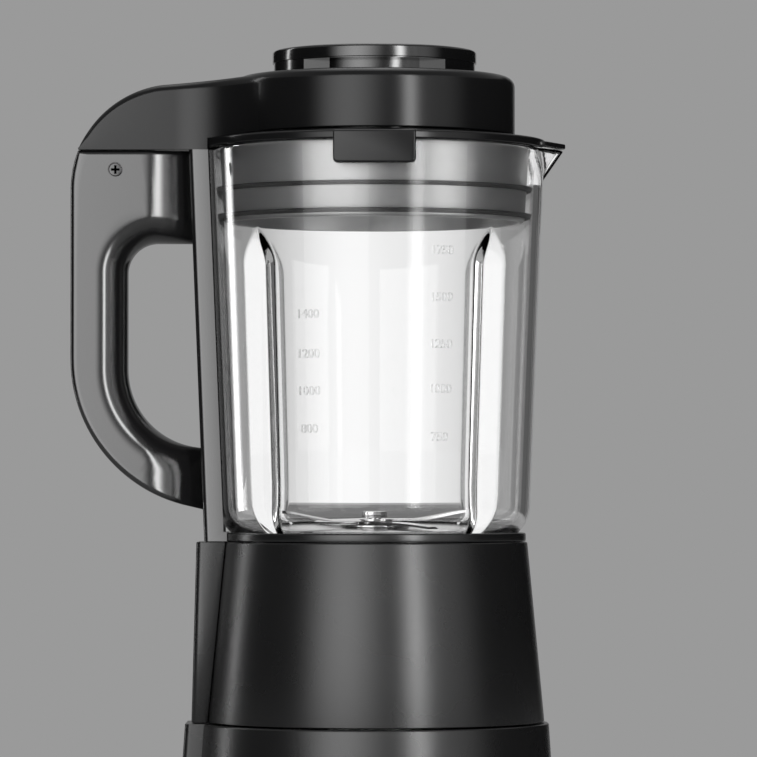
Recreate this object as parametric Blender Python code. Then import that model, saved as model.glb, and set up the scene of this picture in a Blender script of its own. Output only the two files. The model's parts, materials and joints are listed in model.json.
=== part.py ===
"""Heated blender: a glass jug with a D handle on a tapered base with a motor, a heater and a front panel.

Units are metres and +Z is up. The jug's axis is the Z axis, the handle points to -X, the pouring
spout to +X and the control panel faces -Y. The table is the plane z = 0.
"""
import math

import bmesh
import bpy
from mathutils import Matrix, Vector

# Driving radius: the base at its top, which the base, the jug, the lid and the cap all follow
UPPER_TOP_RADIUS = 0.0656

# Clearances and cutting allowances shared by all pieces
FIT_GAP = 0.0003
RUNNING_GAP = 0.0004
CUT_OVERRUN = 0.002
WELD_DISTANCE = 0.000002

# Facets round a full turn
LARGE_FACETS = 30
MEDIUM_FACETS = 18
SMALL_FACETS = 10
TINY_FACETS = 8
SHARP_ANGLE = math.radians(32)

# Base: feet, bottom cover and the two housings
FOOT_HEIGHT = 0.0037
FOOT_RADIUS = 0.009
FOOT_STEM_RADIUS = 0.003
FOOT_INSET = 0.0192
FOOT_COUNT = 4
COVER_INSET = 0.0048
COVER_THICKNESS = 0.0025
PAD_RADIUS = 0.022
PAD_DROP = 0.0025
VENT_COUNT = 10
VENT_INSET = 0.008
VENT_LENGTH = 0.015
VENT_WIDTH = 0.003
LOWER_TAPER = 0.0072
LOWER_HEIGHT = 0.1017
LOWER_ROUNDING = 0.006
HOUSING_WALL = 0.0026
SEAM_LEDGE = 0.0019
UPPER_TAPER = 0.0073
UPPER_HEIGHT = 0.0770
UPPER_ROUNDING = 0.0009
SEAM_GAP = 0.0006
WELL_RIM_WIDTH = 0.0054
WELL_PORT_RADIUS = 0.0240
SPINE_STAND_TOP = 0.0104
SPINE_STAND_SEAM = 0.0052
SPINE_STAND_FOOT = 0.0060
SPINE_EDGE = 0.0026
GLAND_HEIGHT = 0.0220
GLAND_RADIUS = 0.0058
GLAND_FLANGE_RADIUS = 0.0078
GLAND_FLANGE_THICKNESS = 0.0018
GLAND_BORE_RADIUS = 0.0036
GLAND_LENGTH = 0.0090

# Control panel on the lower housing
PANEL_LOW_MARGIN = 0.0255
PANEL_TOP_MARGIN = 0.0142
PANEL_HALF_SWEEP = math.radians(26)
PANEL_PROUD = 0.0004
PANEL_POST_RADIUS = 0.0025
LENS_HALF_SWEEP = math.radians(13)
LENS_TALLNESS = 0.0090
LENS_TOP_MARGIN = 0.0040
KNOB_RADIUS = 0.0165
KNOB_THICKNESS = 0.0130
KNOB_STAND = 0.0006
KNOB_RISE = 0.0260
KNOB_STEM_RADIUS = 0.0035
KNOB_GRIP_DEPTH = 0.0006
KNOB_GRIP_COUNT = 18
KNOB_MARK_WIDTH = 0.0016
KNOB_MARK_DEPTH = 0.0008
BUTTON_RADIUS = 0.0052
BUTTON_PROUD = 0.0018
BUTTON_LENGTH = 0.0064
BUTTON_ANGLE = math.radians(19.5)
BUTTON_PITCH = 0.0190
BUTTON_ROWS = 2
BOARD_SETBACK = 0.0110
BOARD_THICKNESS = 0.0016
BOARD_WIDTH = 0.0580
BOARD_MARGIN = 0.0030

# Motor, upright on the jug's axis
SHAFT_RADIUS = 0.0040
SHAFT_TAIL = 0.0020
FAN_DROP = 0.0160
FAN_RADIUS = 0.0345
FAN_HUB_RADIUS = 0.0085
FAN_PLATE_THICKNESS = 0.0015
FAN_VANE_HEIGHT = 0.0090
FAN_VANE_COUNT = 9
FAN_VANE_THICKNESS = 0.0020
CAN_FLOOR_HEIGHT = 0.0600
CAN_RADIUS = 0.0392
CAN_WALL = 0.0022
CAN_HEIGHT = 0.0680
BEARING_RADIUS = 0.0090
BEARING_HEIGHT = 0.0060
BEARING_HOUSING_WALL = 0.0022
BRACKET_THICKNESS = 0.0025
STATOR_WALL = 0.0130
STATOR_HEAD_ROOM = 0.0188
STATOR_RISE = 0.0090
ARMATURE_GAP = 0.0008
ARMATURE_SLOTS = 12
ARMATURE_SLOT_DEPTH = 0.0022
COIL_HEIGHT = 0.0080
COIL_WALL = 0.0100
COMMUTATOR_RADIUS = 0.0100
COMMUTATOR_HEIGHT = 0.0110
BRUSH_LENGTH = 0.0140
BRUSH_WIDTH = 0.0080
BRUSH_HEIGHT = 0.0070

# Drive between the motor and the blades
SOCKET_RADIUS = 0.0140
SOCKET_FLOOR = 0.0050
SOCKET_DEPTH = 0.0064
LOBE_COUNT = 6
LOBE_RADIUS = 0.0088
LOBE_HEIGHT = 0.0011
LOBE_POINTS = 3
COUPLING_PLATE_RADIUS = 0.0130
COUPLING_PLATE_THICKNESS = 0.0020
DRIVE_CLEARANCE = 0.0007
WELL_SEAL_HEIGHT = 0.0032

# Connector between the base and the jug's heater, and the lid interlock
CONNECTOR_INSET = 0.0050
CONNECTOR_DEPTH = 0.0130
CONNECTOR_HALF_WIDTH = 0.0110
CONNECTOR_TOWER = 0.0062
CONNECTOR_SHROUD = 0.0016
CONNECTOR_ROOF = 0.0030
PIN_RADIUS = 0.0011
PIN_PITCH = 0.0064
PIN_HOLE_CLEARANCE = 0.0005
SWITCH_DEPTH = 0.0050
SWITCH_HALF_WIDTH = 0.0060
SWITCH_HEIGHT = 0.0120
SWITCH_PLUNGER_RADIUS = 0.0011
SWITCH_PLUNGER_LENGTH = 0.0030
ROD_RADIUS = 0.0012

# Glass jug
GLASS_HEIGHT = 0.1685
GLASS_OVERHANG = 0.0013
GLASS_TAPER = 0.0061
GLASS_WALL = 0.0038
GLASS_CORNER_RADIUS = 0.0160
GLASS_SINK = 0.0003
GLASS_SHELF = 0.0189
GLASS_PORT_CLEARANCE = 0.0006
GLASS_RIM_ROUNDING = 0.0012
SPOUT_REACH = 0.0085
SPOUT_DROP = 0.0130
SPOUT_HALF_SWEEP = math.radians(17)
SPOUT_CURVE = 1.15
SPOUT_PLACE_SHARES = (-1.0, -0.66, -0.33, 0.0, 0.33, 0.66, 1.0)
SPOUT_FOOT_SHARE = 0.15
RIB_COUNT = 4
RIB_HALF_WIDTH = 0.0082
RIB_CREST_HEIGHT = 0.0064
RIB_CLEARANCE = 0.0039
RIB_POINT_LENGTH = 0.0160
RIB_FOOT_LENGTH = 0.0140
CLEAR_STEP = math.radians(9)

# Foot of the jug
COLLAR_INSET = 0.0006
COLLAR_HEIGHT = 0.0036
COLLAR_ROUNDING = 0.0006
COLLAR_SKIRT_WALL = 0.0025
COLLAR_SEAT_GAP = 0.0005
COLLAR_SKIRT_CLEARANCE = 0.0008
COVER_FLOOR_CLEARANCE = 0.0010
JUG_COVER_THICKNESS = 0.0025
JUG_COVER_UPSTAND = 0.0060
JUG_COVER_PORT_RADIUS = 0.0165
SEAL_THICKNESS = 0.0012
PLATE_THICKNESS = 0.0014
PLATE_FLANGE = 0.0040
PLATE_RISE = 0.0040
ELEMENT_INSET = 0.0140
ELEMENT_TUBE_RADIUS = 0.0032
ELEMENT_SWEEP = math.radians(300)
ELEMENT_STEPS = 16
ELEMENT_TAIL = 0.0040
SENSOR_RADIUS = 0.0030
SENSOR_GAP = 0.0015
SENSOR_HEIGHT = 0.0080

# Blade assembly
HOUSING_RADIUS = 0.0120
HOUSING_FLANGE_RADIUS = 0.0150
HOUSING_FLANGE_THICKNESS = 0.0018
HOUSING_DROP = 0.0090
HOUSING_NUT_RADIUS = 0.0175
HOUSING_NUT_HEIGHT = 0.0036
BLADE_BEARING_RADIUS = 0.0080
BLADE_BEARING_HEIGHT = 0.0050
BLADE_SEAL_RADIUS = 0.0072
BLADE_SEAL_HEIGHT = 0.0022
BLADE_SEAT_WALL = 0.0012
SPINDLE_RADIUS = 0.0030
BLADE_HUB_RADIUS = 0.0085
BLADE_THICKNESS = 0.0015
BLADE_REACH = 0.0400
BLADE_ROOT_WIDTH = 0.0150
BLADE_TIP_WIDTH = 0.0060
BLADE_SWEEP = 0.0050
BLADE_EDGE = 0.0005
BLADE_BEND_SHARE = 0.42
UPPER_BLADE_LIFT = 0.0052
LOWER_BLADE_DROP = 0.0008
BLADE_NUT_RADIUS = 0.0055
BLADE_NUT_HEIGHT = 0.0042

# Handle column and handle
COLUMN_STAND = 0.0064
COLUMN_LEDGE = 0.0005
COLUMN_EDGE = 0.0024
COLUMN_TOP_DROP = 0.0006
ROD_STAND = 0.0033
ROD_CHANNEL_RADIUS = 0.0016
HANDLE_HALF_DEPTH = 0.0170
HANDLE_PROJECTION = 0.0569
HANDLE_TOP_DROP = 0.0010
HANDLE_FOOT_RISE = 0.0140
HANDLE_HEEL_RADIUS = 0.0645
HANDLE_GRIP_THICKNESS = 0.0241
HANDLE_OPENING_DROP = 0.0403
HANDLE_TOP_ROUNDING = 0.0129
HANDLE_INNER_HEEL_RADIUS = 0.0337
HANDLE_INNER_ROUNDING = 0.0130
HANDLE_EDGE = 0.0020
HANDLE_SHELL_WALL = 0.0026
HANDLE_LEAN_END = math.radians(83)
HANDLE_SCOOP_WIDTH = 0.0194
HANDLE_SCOOP_RADIUS = 0.0270
SCREW_INSET = 0.0192
SCREW_DROP = 0.0092
SCREW_HEAD_RADIUS = 0.0028
SCREW_HEAD_HEIGHT = 0.0018
SCREW_SHANK_RADIUS = 0.0016
SCREW_BOSS_RADIUS = 0.0048
SCREW_CROSS_WIDTH = 0.0008
SCREW_CROSS_DEPTH = 0.0008

# Lid
RIM_THICKNESS = 0.0036
RIM_CONE_HEIGHT = 0.0018
RIM_OVERHANG = 0.0006
RIM_LEDGE = 0.0044
RIM_TONGUE_REACH = 0.0220
SPOUT_COVER_THICKNESS = 0.0022
TAB_HALF_WIDTH = 0.01725
TAB_HEIGHT = 0.0137
TAB_PROUD = 0.0046
TAB_CORNER = 0.0018
LID_SETBACK = 0.0126
LID_HEIGHT = 0.0252
LID_WALL = 0.0026
LID_ROUNDING = 0.0045
LID_CROWN = 0.0006
LID_DECK_WIDTH = 0.0209
FEED_WALL = 0.0025
FEED_LENGTH = 0.0220
TONGUE_ARC_RADIUS = 0.0450
TONGUE_ARC_RISE = 0.0276
TONGUE_ARC_SHARE = 0.14
TONGUE_EDGE = 0.0036
TONGUE_BLEND_RADIUS = 0.0450
TONGUE_SKIRT = 0.0020
TONGUE_STATION_SHARES = (0.0, 0.03, 0.08, 0.16, 0.27, 0.38, 0.50, 0.60, 0.70, 0.79, 0.87, 0.94, 1.0)
TONGUE_DROP = 0.0003
PLUG_SIDE_CLEARANCE = 0.0028
PLUG_TAPER = 0.0019
PLUG_HEIGHT = 0.0316
PLUG_WALL = 0.0024
PLUG_ROOF = 0.0025
PLUG_TUBE_GAP = 0.0005
PLUG_TUBE_LENGTH = 0.0200
SEAL_RING_HEIGHT = 0.0022
SEAL_RING_SHARES = (0.557, 0.921)
SEAL_LIP = 0.0008
SEAL_RING_CLEARANCE = 0.0005

# Filler cap
CAP_OVERHANG = 0.0044
CAP_TOP_THICKNESS = 0.0054
CAP_NECK_HEIGHT = 0.0050
CAP_NECK_INSET = 0.0006
CAP_DISH = 0.0007
CAP_RIM_WIDTH = 0.0040
CAP_ROUNDING = 0.0009
CAP_CUP_CLEARANCE = 0.0032
CAP_CUP_WALL = 0.0023
CAP_CUP_LENGTH = 0.0350
FINGER_INSET = 0.0063
GASKET_HEIGHT = 0.0030
GASKET_DROP = 0.0080

# Radii worked out from the driving radius, from the base up
UPPER_FOOT_RADIUS = UPPER_TOP_RADIUS + UPPER_TAPER
LOWER_TOP_RADIUS = UPPER_FOOT_RADIUS + SEAM_LEDGE
LOWER_FOOT_RADIUS = LOWER_TOP_RADIUS + LOWER_TAPER
COVER_RADIUS = LOWER_FOOT_RADIUS - COVER_INSET
FOOT_CIRCLE_RADIUS = COVER_RADIUS - FOOT_INSET
VENT_INNER_RADIUS = PAD_RADIUS + VENT_INSET
WELL_RADIUS = UPPER_TOP_RADIUS - WELL_RIM_WIDTH
COLLAR_RADIUS = UPPER_TOP_RADIUS - COLLAR_INSET
GLASS_FOOT_RADIUS = UPPER_TOP_RADIUS + GLASS_OVERHANG
GLASS_RIM_RADIUS = GLASS_FOOT_RADIUS + GLASS_TAPER
GLASS_PORT_RADIUS = GLASS_FOOT_RADIUS - GLASS_SHELF
CONNECTOR_CENTRE = GLASS_PORT_RADIUS - CONNECTOR_INSET
ELEMENT_CIRCLE_RADIUS = GLASS_PORT_RADIUS - ELEMENT_INSET
SENSOR_CIRCLE_RADIUS = ELEMENT_CIRCLE_RADIUS + ELEMENT_TUBE_RADIUS + SENSOR_GAP + SENSOR_RADIUS
HANDLE_REACH = GLASS_RIM_RADIUS + HANDLE_PROJECTION
LID_RADIUS = GLASS_RIM_RADIUS - LID_SETBACK
RIM_INNER_RADIUS = LID_RADIUS - RIM_LEDGE
PLUG_TOP_RADIUS = GLASS_RIM_RADIUS - GLASS_WALL - PLUG_SIDE_CLEARANCE
PLUG_FOOT_RADIUS = PLUG_TOP_RADIUS - PLUG_TAPER
FEED_RADIUS = LID_RADIUS - LID_DECK_WIDTH
CAP_RADIUS = FEED_RADIUS + CAP_OVERHANG
CAP_CUP_RADIUS = FEED_RADIUS - CAP_CUP_CLEARANCE
FINGER_HALF_WIDTH = CAP_CUP_RADIUS - FINGER_INSET

# Widths and lengths that follow other pieces
COLUMN_HALF_WIDTH = HANDLE_HALF_DEPTH + COLUMN_LEDGE
SPINE_HALF_WIDTH = COLUMN_HALF_WIDTH
TONGUE_HALF_WIDTH = HANDLE_HALF_DEPTH
HANDLE_GRIP_TOP = TONGUE_ARC_RADIUS - TONGUE_ARC_RISE
HANDLE_GRIP_LENGTH = GLASS_HEIGHT - HANDLE_GRIP_TOP - HANDLE_HEEL_RADIUS - HANDLE_FOOT_RISE
RIB_TOP_DROP = PLUG_HEIGHT + RIB_CLEARANCE
STATOR_HEIGHT = CAN_HEIGHT - CAN_WALL - STATOR_RISE - STATOR_HEAD_ROOM
FAN_HEIGHT = CAN_FLOOR_HEIGHT - FAN_DROP
SHAFT_FOOT_HEIGHT = FAN_HEIGHT - SHAFT_TAIL
JUG_FOOT_DROP = GLASS_SINK + FIT_GAP * 2 + SEAL_THICKNESS - PLATE_RISE + HOUSING_DROP
DRIVE_STACK = SOCKET_FLOOR - HOUSING_WALL + SOCKET_DEPTH + RUNNING_GAP + COUPLING_PLATE_THICKNESS
WELL_DEPTH = JUG_FOOT_DROP + DRIVE_CLEARANCE + DRIVE_STACK
PANEL_TALLNESS = LOWER_HEIGHT - PANEL_LOW_MARGIN - PANEL_TOP_MARGIN

# Heights worked out from the stack above, from the table up
PAD_HEIGHT = FOOT_HEIGHT + FIT_GAP - PAD_DROP
COVER_UNDERSIDE = FOOT_HEIGHT + FIT_GAP
LOWER_FLOOR = COVER_UNDERSIDE + 0.2 * COVER_THICKNESS
PANEL_LOW_HEIGHT = LOWER_FLOOR + PANEL_LOW_MARGIN
KNOB_HEIGHT = PANEL_LOW_HEIGHT + KNOB_RISE
SEAM_HEIGHT = LOWER_FLOOR + LOWER_HEIGHT
UPPER_FLOOR = SEAM_HEIGHT + SEAM_GAP
BASE_TOP = UPPER_FLOOR + UPPER_HEIGHT
WELL_FLOOR = BASE_TOP - WELL_DEPTH
COLLAR_FLOOR = BASE_TOP + FIT_GAP
COLLAR_TOP = COLLAR_FLOOR + COLLAR_HEIGHT
GLASS_FLOOR = BASE_TOP - GLASS_SINK
GLASS_RIM = GLASS_FLOOR + GLASS_HEIGHT
CORNER_CENTRE_HEIGHT = GLASS_FLOOR + GLASS_CORNER_RADIUS
RIM_FLOOR = GLASS_RIM + FIT_GAP
RIM_TOP = RIM_FLOOR + RIM_THICKNESS
LID_FLOOR = RIM_TOP + RIM_CONE_HEIGHT + FIT_GAP
LID_DECK = LID_FLOOR + LID_HEIGHT
CAP_FLOOR = LID_DECK + LID_CROWN + FIT_GAP
CAP_SHOULDER = CAP_FLOOR + CAP_NECK_HEIGHT
CAP_TOP = CAP_SHOULDER + CAP_TOP_THICKNESS
FULL_TURN = 2 * math.pi


# Mesh helpers

def link(name, mesh):
    """Put a mesh into the scene as an object of that name."""
    obj = bpy.data.objects.new(name, mesh)
    bpy.context.scene.collection.objects.link(obj)
    return obj


def to_mesh(shape, name):
    """Turn a bmesh into a mesh with its doubles merged and its faces pointing out."""
    bmesh.ops.remove_doubles(shape, verts=shape.verts, dist=WELD_DISTANCE)
    bmesh.ops.dissolve_degenerate(shape, edges=shape.edges, dist=WELD_DISTANCE)
    bmesh.ops.recalc_face_normals(shape, faces=shape.faces)
    mesh = bpy.data.meshes.new(name)
    shape.to_mesh(mesh)
    shape.free()
    return mesh


def turned(name, outline, steps=LARGE_FACETS, start=0.0, sweep=FULL_TURN):
    """A closed outline of (radius, height) points turned about the Z axis."""
    shape = bmesh.new()
    whole = sweep > FULL_TURN - SHARP_ANGLE
    points = [shape.verts.new((r * math.cos(start), r * math.sin(start), z)) for r, z in outline]
    edges = []
    for index, (radius, _) in enumerate(outline):
        following = (index + 1) % len(outline)
        if radius > 0 or outline[following][0] > 0:
            edges.append(shape.edges.new((points[index], points[following])))
    section = None if whole else shape.faces.new(points)
    geometry = points + edges + ([section] if section else [])
    if whole:
        bmesh.ops.spin(shape, geom=geometry, cent=(0, 0, 0), axis=(0, 0, 1), angle=sweep,
                       steps=steps, use_merge=True, use_duplicate=False)
    else:
        turned_end = bmesh.ops.spin(shape, geom=[section], cent=(0, 0, 0), axis=(0, 0, 1),
                                    angle=sweep, steps=steps, use_duplicate=False)
        assert turned_end["geom_last"]
    return link(name, to_mesh(shape, name))


def slab(name, outline, low, high, plane="XY"):
    """A flat outline pushed from low to high along the third axis of its plane."""
    order = {"XY": (0, 1, 2), "XZ": (0, 2, 1), "YZ": (1, 2, 0)}[plane]
    shape = bmesh.new()
    points = []
    for first, second in outline:
        place = [0.0, 0.0, 0.0]
        place[order[0]], place[order[1]], place[order[2]] = first, second, low
        points.append(shape.verts.new(place))
    face = shape.faces.new(points)
    pushed = bmesh.ops.extrude_face_region(shape, geom=[face])
    push = Vector((0.0, 0.0, 0.0))
    push[order[2]] = high - low
    moved = [item for item in pushed["geom"] if isinstance(item, bmesh.types.BMVert)]
    bmesh.ops.translate(shape, verts=moved, vec=push)
    return link(name, to_mesh(shape, name))


def block(name, low, high):
    """A plain box between two corners."""
    outline = [(low[0], low[1]), (high[0], low[1]), (high[0], high[1]), (low[0], high[1])]
    return slab(name, outline, low[2], high[2])


def rod(name, radius, foot, head, facets=SMALL_FACETS, point_share=1.0):
    """A round bar from foot to head, whose far end may be narrower."""
    shape = bmesh.new()
    foot, head = Vector(foot), Vector(head)
    run = head - foot
    bmesh.ops.create_cone(shape, cap_ends=True, segments=facets, radius1=radius,
                          radius2=radius * point_share, depth=run.length)
    turn = Vector((0, 0, 1)).rotation_difference(run.normalized()).to_matrix().to_4x4()
    place = Matrix.Translation((foot + head) / 2) @ turn
    bmesh.ops.transform(shape, matrix=place, verts=shape.verts)
    return link(name, to_mesh(shape, name))


def lofted(name, rings, closed=False):
    """Skin through rings of as many points each, closed into a loop or capped at both ends."""
    shape = bmesh.new()
    loops = [[shape.verts.new(point) for point in ring] for ring in rings]
    count = len(loops[0])
    pairs = list(zip(loops, loops[1:])) + ([(loops[-1], loops[0])] if closed else [])
    for near, far in pairs:
        for index in range(count):
            following = (index + 1) % count
            shape.faces.new((near[index], near[following], far[following], far[index]))
    if not closed:
        shape.faces.new(loops[0])
        shape.faces.new(loops[-1])
    return link(name, to_mesh(shape, name))


def flattened(obj):
    """Split an object's faces into triangles, so that a twisted skin cuts cleanly."""
    shape = bmesh.new()
    shape.from_mesh(obj.data)
    bmesh.ops.triangulate(shape, faces=shape.faces)
    shape.to_mesh(obj.data)
    shape.free()
    return obj


def combine(target, tool, operation):
    """Join a tool to the target, or cut it from it, and drop the tool."""
    modifier = target.modifiers.new("Combine", "BOOLEAN")
    modifier.operation = operation
    modifier.solver = "EXACT"
    modifier.object = tool
    bpy.context.view_layer.update()
    evaluated = target.evaluated_get(bpy.context.evaluated_depsgraph_get())
    result = bpy.data.meshes.new_from_object(evaluated)
    target.modifiers.remove(modifier)
    target.data = result
    bpy.data.objects.remove(tool)
    return target


def cut(target, *tools):
    """Cut each tool from the target."""
    for tool in tools:
        combine(target, tool, "DIFFERENCE")
    return target


def join(target, *tools):
    """Join each tool to the target."""
    for tool in tools:
        combine(target, tool, "UNION")
    return target


def turn_about(obj, angle, axis="Z"):
    """Turn an object's mesh about an axis through the origin."""
    obj.data.transform(Matrix.Rotation(angle, 4, axis))
    return obj


def shift(obj, x=0.0, y=0.0, z=0.0):
    """Move an object's mesh."""
    obj.data.transform(Matrix.Translation((x, y, z)))
    return obj


def dress(obj, colour, roughness, metallic=0.0, alpha=1.0):
    """Give an object its own Principled material and smooth shading."""
    material = bpy.data.materials.new(obj.name)
    material.use_nodes = True
    shader = material.node_tree.nodes["Principled BSDF"]
    shader.inputs["Base Color"].default_value = (*colour, 1.0)
    shader.inputs["Roughness"].default_value = roughness
    shader.inputs["Metallic"].default_value = metallic
    shader.inputs["Alpha"].default_value = alpha
    obj.data.materials.clear()
    obj.data.materials.append(material)
    obj.data.shade_smooth()
    obj.data.set_sharp_from_angle(angle=SHARP_ANGLE)
    return obj


BLACK = (0.012, 0.012, 0.013)
SATIN = (0.020, 0.020, 0.021)
RUBBER = (0.025, 0.025, 0.025)
STEEL = (0.62, 0.62, 0.63)
COPPER = (0.60, 0.28, 0.14)
CLEAR = (0.92, 0.94, 0.94)
WHITE = (0.75, 0.75, 0.74)
GREEN = (0.03, 0.16, 0.08)


def black_plastic(obj):
    """Glossy black plastic."""
    return dress(obj, BLACK, 0.22)


def satin_plastic(obj):
    """Satin black plastic."""
    return dress(obj, SATIN, 0.42)


def rubber(obj):
    """Dark rubber."""
    return dress(obj, RUBBER, 0.8)


def steel(obj):
    """Brushed stainless steel."""
    return dress(obj, STEEL, 0.28, 1.0)


def copper(obj):
    """Bare copper."""
    return dress(obj, COPPER, 0.35, 1.0)


# Outline helpers

def arc(centre, radius, start, end, steps):
    """Points along an arc in a plane, angles in radians, both ends included."""
    return [(centre[0] + radius * math.cos(start + (end - start) * step / steps),
             centre[1] + radius * math.sin(start + (end - start) * step / steps))
            for step in range(steps + 1)]


def between(first, last, steps, with_last=True):
    """Evenly spaced points from the first to the last."""
    count = steps + 1 if with_last else steps
    return [tuple(a + (b - a) * step / steps for a, b in zip(first, last)) for step in range(count)]


def rounded_box(low, high, radius, steps=3):
    """A rectangle's outline with round corners."""
    quarter = math.pi / 2
    corners = [((high[0] - radius, high[1] - radius), 0), ((low[0] + radius, high[1] - radius), 1),
               ((low[0] + radius, low[1] + radius), 2), ((high[0] - radius, low[1] + radius), 3)]
    outline = []
    for centre, turn in corners:
        outline += arc(centre, radius, turn * quarter, (turn + 1) * quarter, steps)
    return outline


def lobed(radius, swell, count, points_per_lobe):
    """A round outline with soft lobes."""
    total = count * points_per_lobe
    outline = []
    for index in range(total):
        angle = FULL_TURN * index / total
        reach = radius + swell * math.cos(count * angle)
        outline.append((reach * math.cos(angle), reach * math.sin(angle)))
    return outline


def hexagon(radius):
    """A six-sided outline through points at a radius."""
    return arc((0.0, 0.0), radius, 0.0, FULL_TURN * 5 / 6, 5)


# Shapes that several pieces follow

def upper_radius(height):
    """Outer radius of the upper housing's cone at a height."""
    share = (height - UPPER_FLOOR) / UPPER_HEIGHT
    return UPPER_FOOT_RADIUS + (UPPER_TOP_RADIUS - UPPER_FOOT_RADIUS) * share


def lower_radius(height):
    """Outer radius of the lower housing's cone at a height."""
    share = (height - LOWER_FLOOR) / LOWER_HEIGHT
    return LOWER_FOOT_RADIUS + (LOWER_TOP_RADIUS - LOWER_FOOT_RADIUS) * share


def glass_radius(height):
    """Outer radius of the jug's glass wall at a height, without the corner's curve."""
    share = (height - CORNER_CENTRE_HEIGHT) / (GLASS_RIM - CORNER_CENTRE_HEIGHT)
    return GLASS_FOOT_RADIUS + (GLASS_RIM_RADIUS - GLASS_FOOT_RADIUS) * share


def glass_clearance_cone(name, extra):
    """A solid that fills the jug's outer form, and the collar's, a little larger."""
    low = COLLAR_FLOOR - CUT_OVERRUN * 5
    high = GLASS_RIM + CUT_OVERRUN * 5
    step = COLLAR_TOP + extra
    outline = [(0, low), (COLLAR_RADIUS + extra, low), (COLLAR_RADIUS + extra, step),
               (glass_radius(step) + extra, step), (glass_radius(high) + extra, high), (0, high)]
    return turned(name, outline, LARGE_FACETS * 2)


# Base

def build_feet():
    """Four rubber feet with stems that push up into the bottom cover."""
    pieces = []
    for index in range(FOOT_COUNT):
        angle = FULL_TURN * (index + 0.5) / FOOT_COUNT
        stem_top = COVER_UNDERSIDE + COVER_THICKNESS
        outline = [(0, 0), (FOOT_RADIUS * 0.9, 0), (FOOT_RADIUS, FOOT_HEIGHT * 0.3),
                   (FOOT_RADIUS, FOOT_HEIGHT), (FOOT_STEM_RADIUS, FOOT_HEIGHT),
                   (FOOT_STEM_RADIUS, stem_top), (0, stem_top)]
        foot = turned(f"foot_{index + 1}", outline, SMALL_FACETS)
        shift(foot, FOOT_CIRCLE_RADIUS * math.cos(angle), FOOT_CIRCLE_RADIUS * math.sin(angle))
        pieces.append(rubber(foot))
    return pieces


def build_bottom_cover():
    """Round bottom cover with a middle pad, radial vents and holes for the feet."""
    top = COVER_UNDERSIDE + COVER_THICKNESS
    outline = [(0, PAD_HEIGHT), (PAD_RADIUS, PAD_HEIGHT), (PAD_RADIUS, COVER_UNDERSIDE),
               (COVER_RADIUS, COVER_UNDERSIDE), (COVER_RADIUS, top), (0, top)]
    cover = turned("bottom_cover", outline, LARGE_FACETS)
    for index in range(VENT_COUNT):
        vent = block("vent", (VENT_INNER_RADIUS, -VENT_WIDTH / 2, COVER_UNDERSIDE - CUT_OVERRUN),
                     (VENT_INNER_RADIUS + VENT_LENGTH, VENT_WIDTH / 2, top + CUT_OVERRUN))
        cut(cover, turn_about(vent, FULL_TURN * index / VENT_COUNT))
    for index in range(FOOT_COUNT):
        angle = FULL_TURN * (index + 0.5) / FOOT_COUNT
        x, y = FOOT_CIRCLE_RADIUS * math.cos(angle), FOOT_CIRCLE_RADIUS * math.sin(angle)
        cut(cover, rod("hole", FOOT_STEM_RADIUS + FIT_GAP, (x, y, COVER_UNDERSIDE - CUT_OVERRUN),
                       (x, y, top + CUT_OVERRUN), SMALL_FACETS))
    return [satin_plastic(cover)]


def build_lower_housing():
    """Lower band of the base, with openings for the panel and the cord gland."""
    floor_radius = lower_radius(LOWER_FLOOR + LOWER_ROUNDING)
    shelf = SEAM_HEIGHT - HOUSING_WALL
    foot_inner = COVER_RADIUS + FIT_GAP
    bottom = [(floor_radius - LOWER_ROUNDING * 0.6, LOWER_FLOOR),
              (floor_radius - LOWER_ROUNDING * 0.2, LOWER_FLOOR + LOWER_ROUNDING * 0.25),
              (floor_radius, LOWER_FLOOR + LOWER_ROUNDING)]
    inner_foot = max(foot_inner, floor_radius - HOUSING_WALL - LOWER_ROUNDING)
    outline = [(inner_foot, LOWER_FLOOR)] + bottom + [
        (LOWER_TOP_RADIUS, SEAM_HEIGHT - UPPER_ROUNDING),
        (LOWER_TOP_RADIUS - UPPER_ROUNDING, SEAM_HEIGHT),
        (UPPER_FOOT_RADIUS - HOUSING_WALL, SEAM_HEIGHT),
        (UPPER_FOOT_RADIUS - HOUSING_WALL, shelf),
        (lower_radius(shelf) - HOUSING_WALL, shelf),
        (lower_radius(LOWER_FLOOR + LOWER_ROUNDING) - HOUSING_WALL, LOWER_FLOOR + LOWER_ROUNDING)]
    housing = turned("base_lower_housing", outline, LARGE_FACETS)
    window = panel_wedge("window", PANEL_HALF_SWEEP, PANEL_LOW_HEIGHT,
                         PANEL_LOW_HEIGHT + PANEL_TALLNESS, HOUSING_WALL * 2, HOUSING_WALL * 2)
    hole = rod("hole", GLAND_RADIUS + FIT_GAP, (0, LOWER_TOP_RADIUS - GLAND_LENGTH, GLAND_HEIGHT),
               (0, LOWER_FOOT_RADIUS + GLAND_LENGTH, GLAND_HEIGHT))
    cut(housing, window, hole)
    spine_low = LOWER_FLOOR + LOWER_ROUNDING
    spine = spine_solid("spine", spine_low, SEAM_HEIGHT, lower_radius(spine_low) + SPINE_STAND_FOOT,
                        lower_radius(SEAM_HEIGHT) + SPINE_STAND_FOOT)
    middle = HOUSING_WALL / 2
    cut(spine, turned("middle", [
        (0, spine_low - CUT_OVERRUN), (lower_radius(spine_low) - middle, spine_low - CUT_OVERRUN),
        (lower_radius(SEAM_HEIGHT) - middle, SEAM_HEIGHT + CUT_OVERRUN), (0, SEAM_HEIGHT + CUT_OVERRUN)],
        LARGE_FACETS))
    return [satin_plastic(join(housing, spine))]


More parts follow.
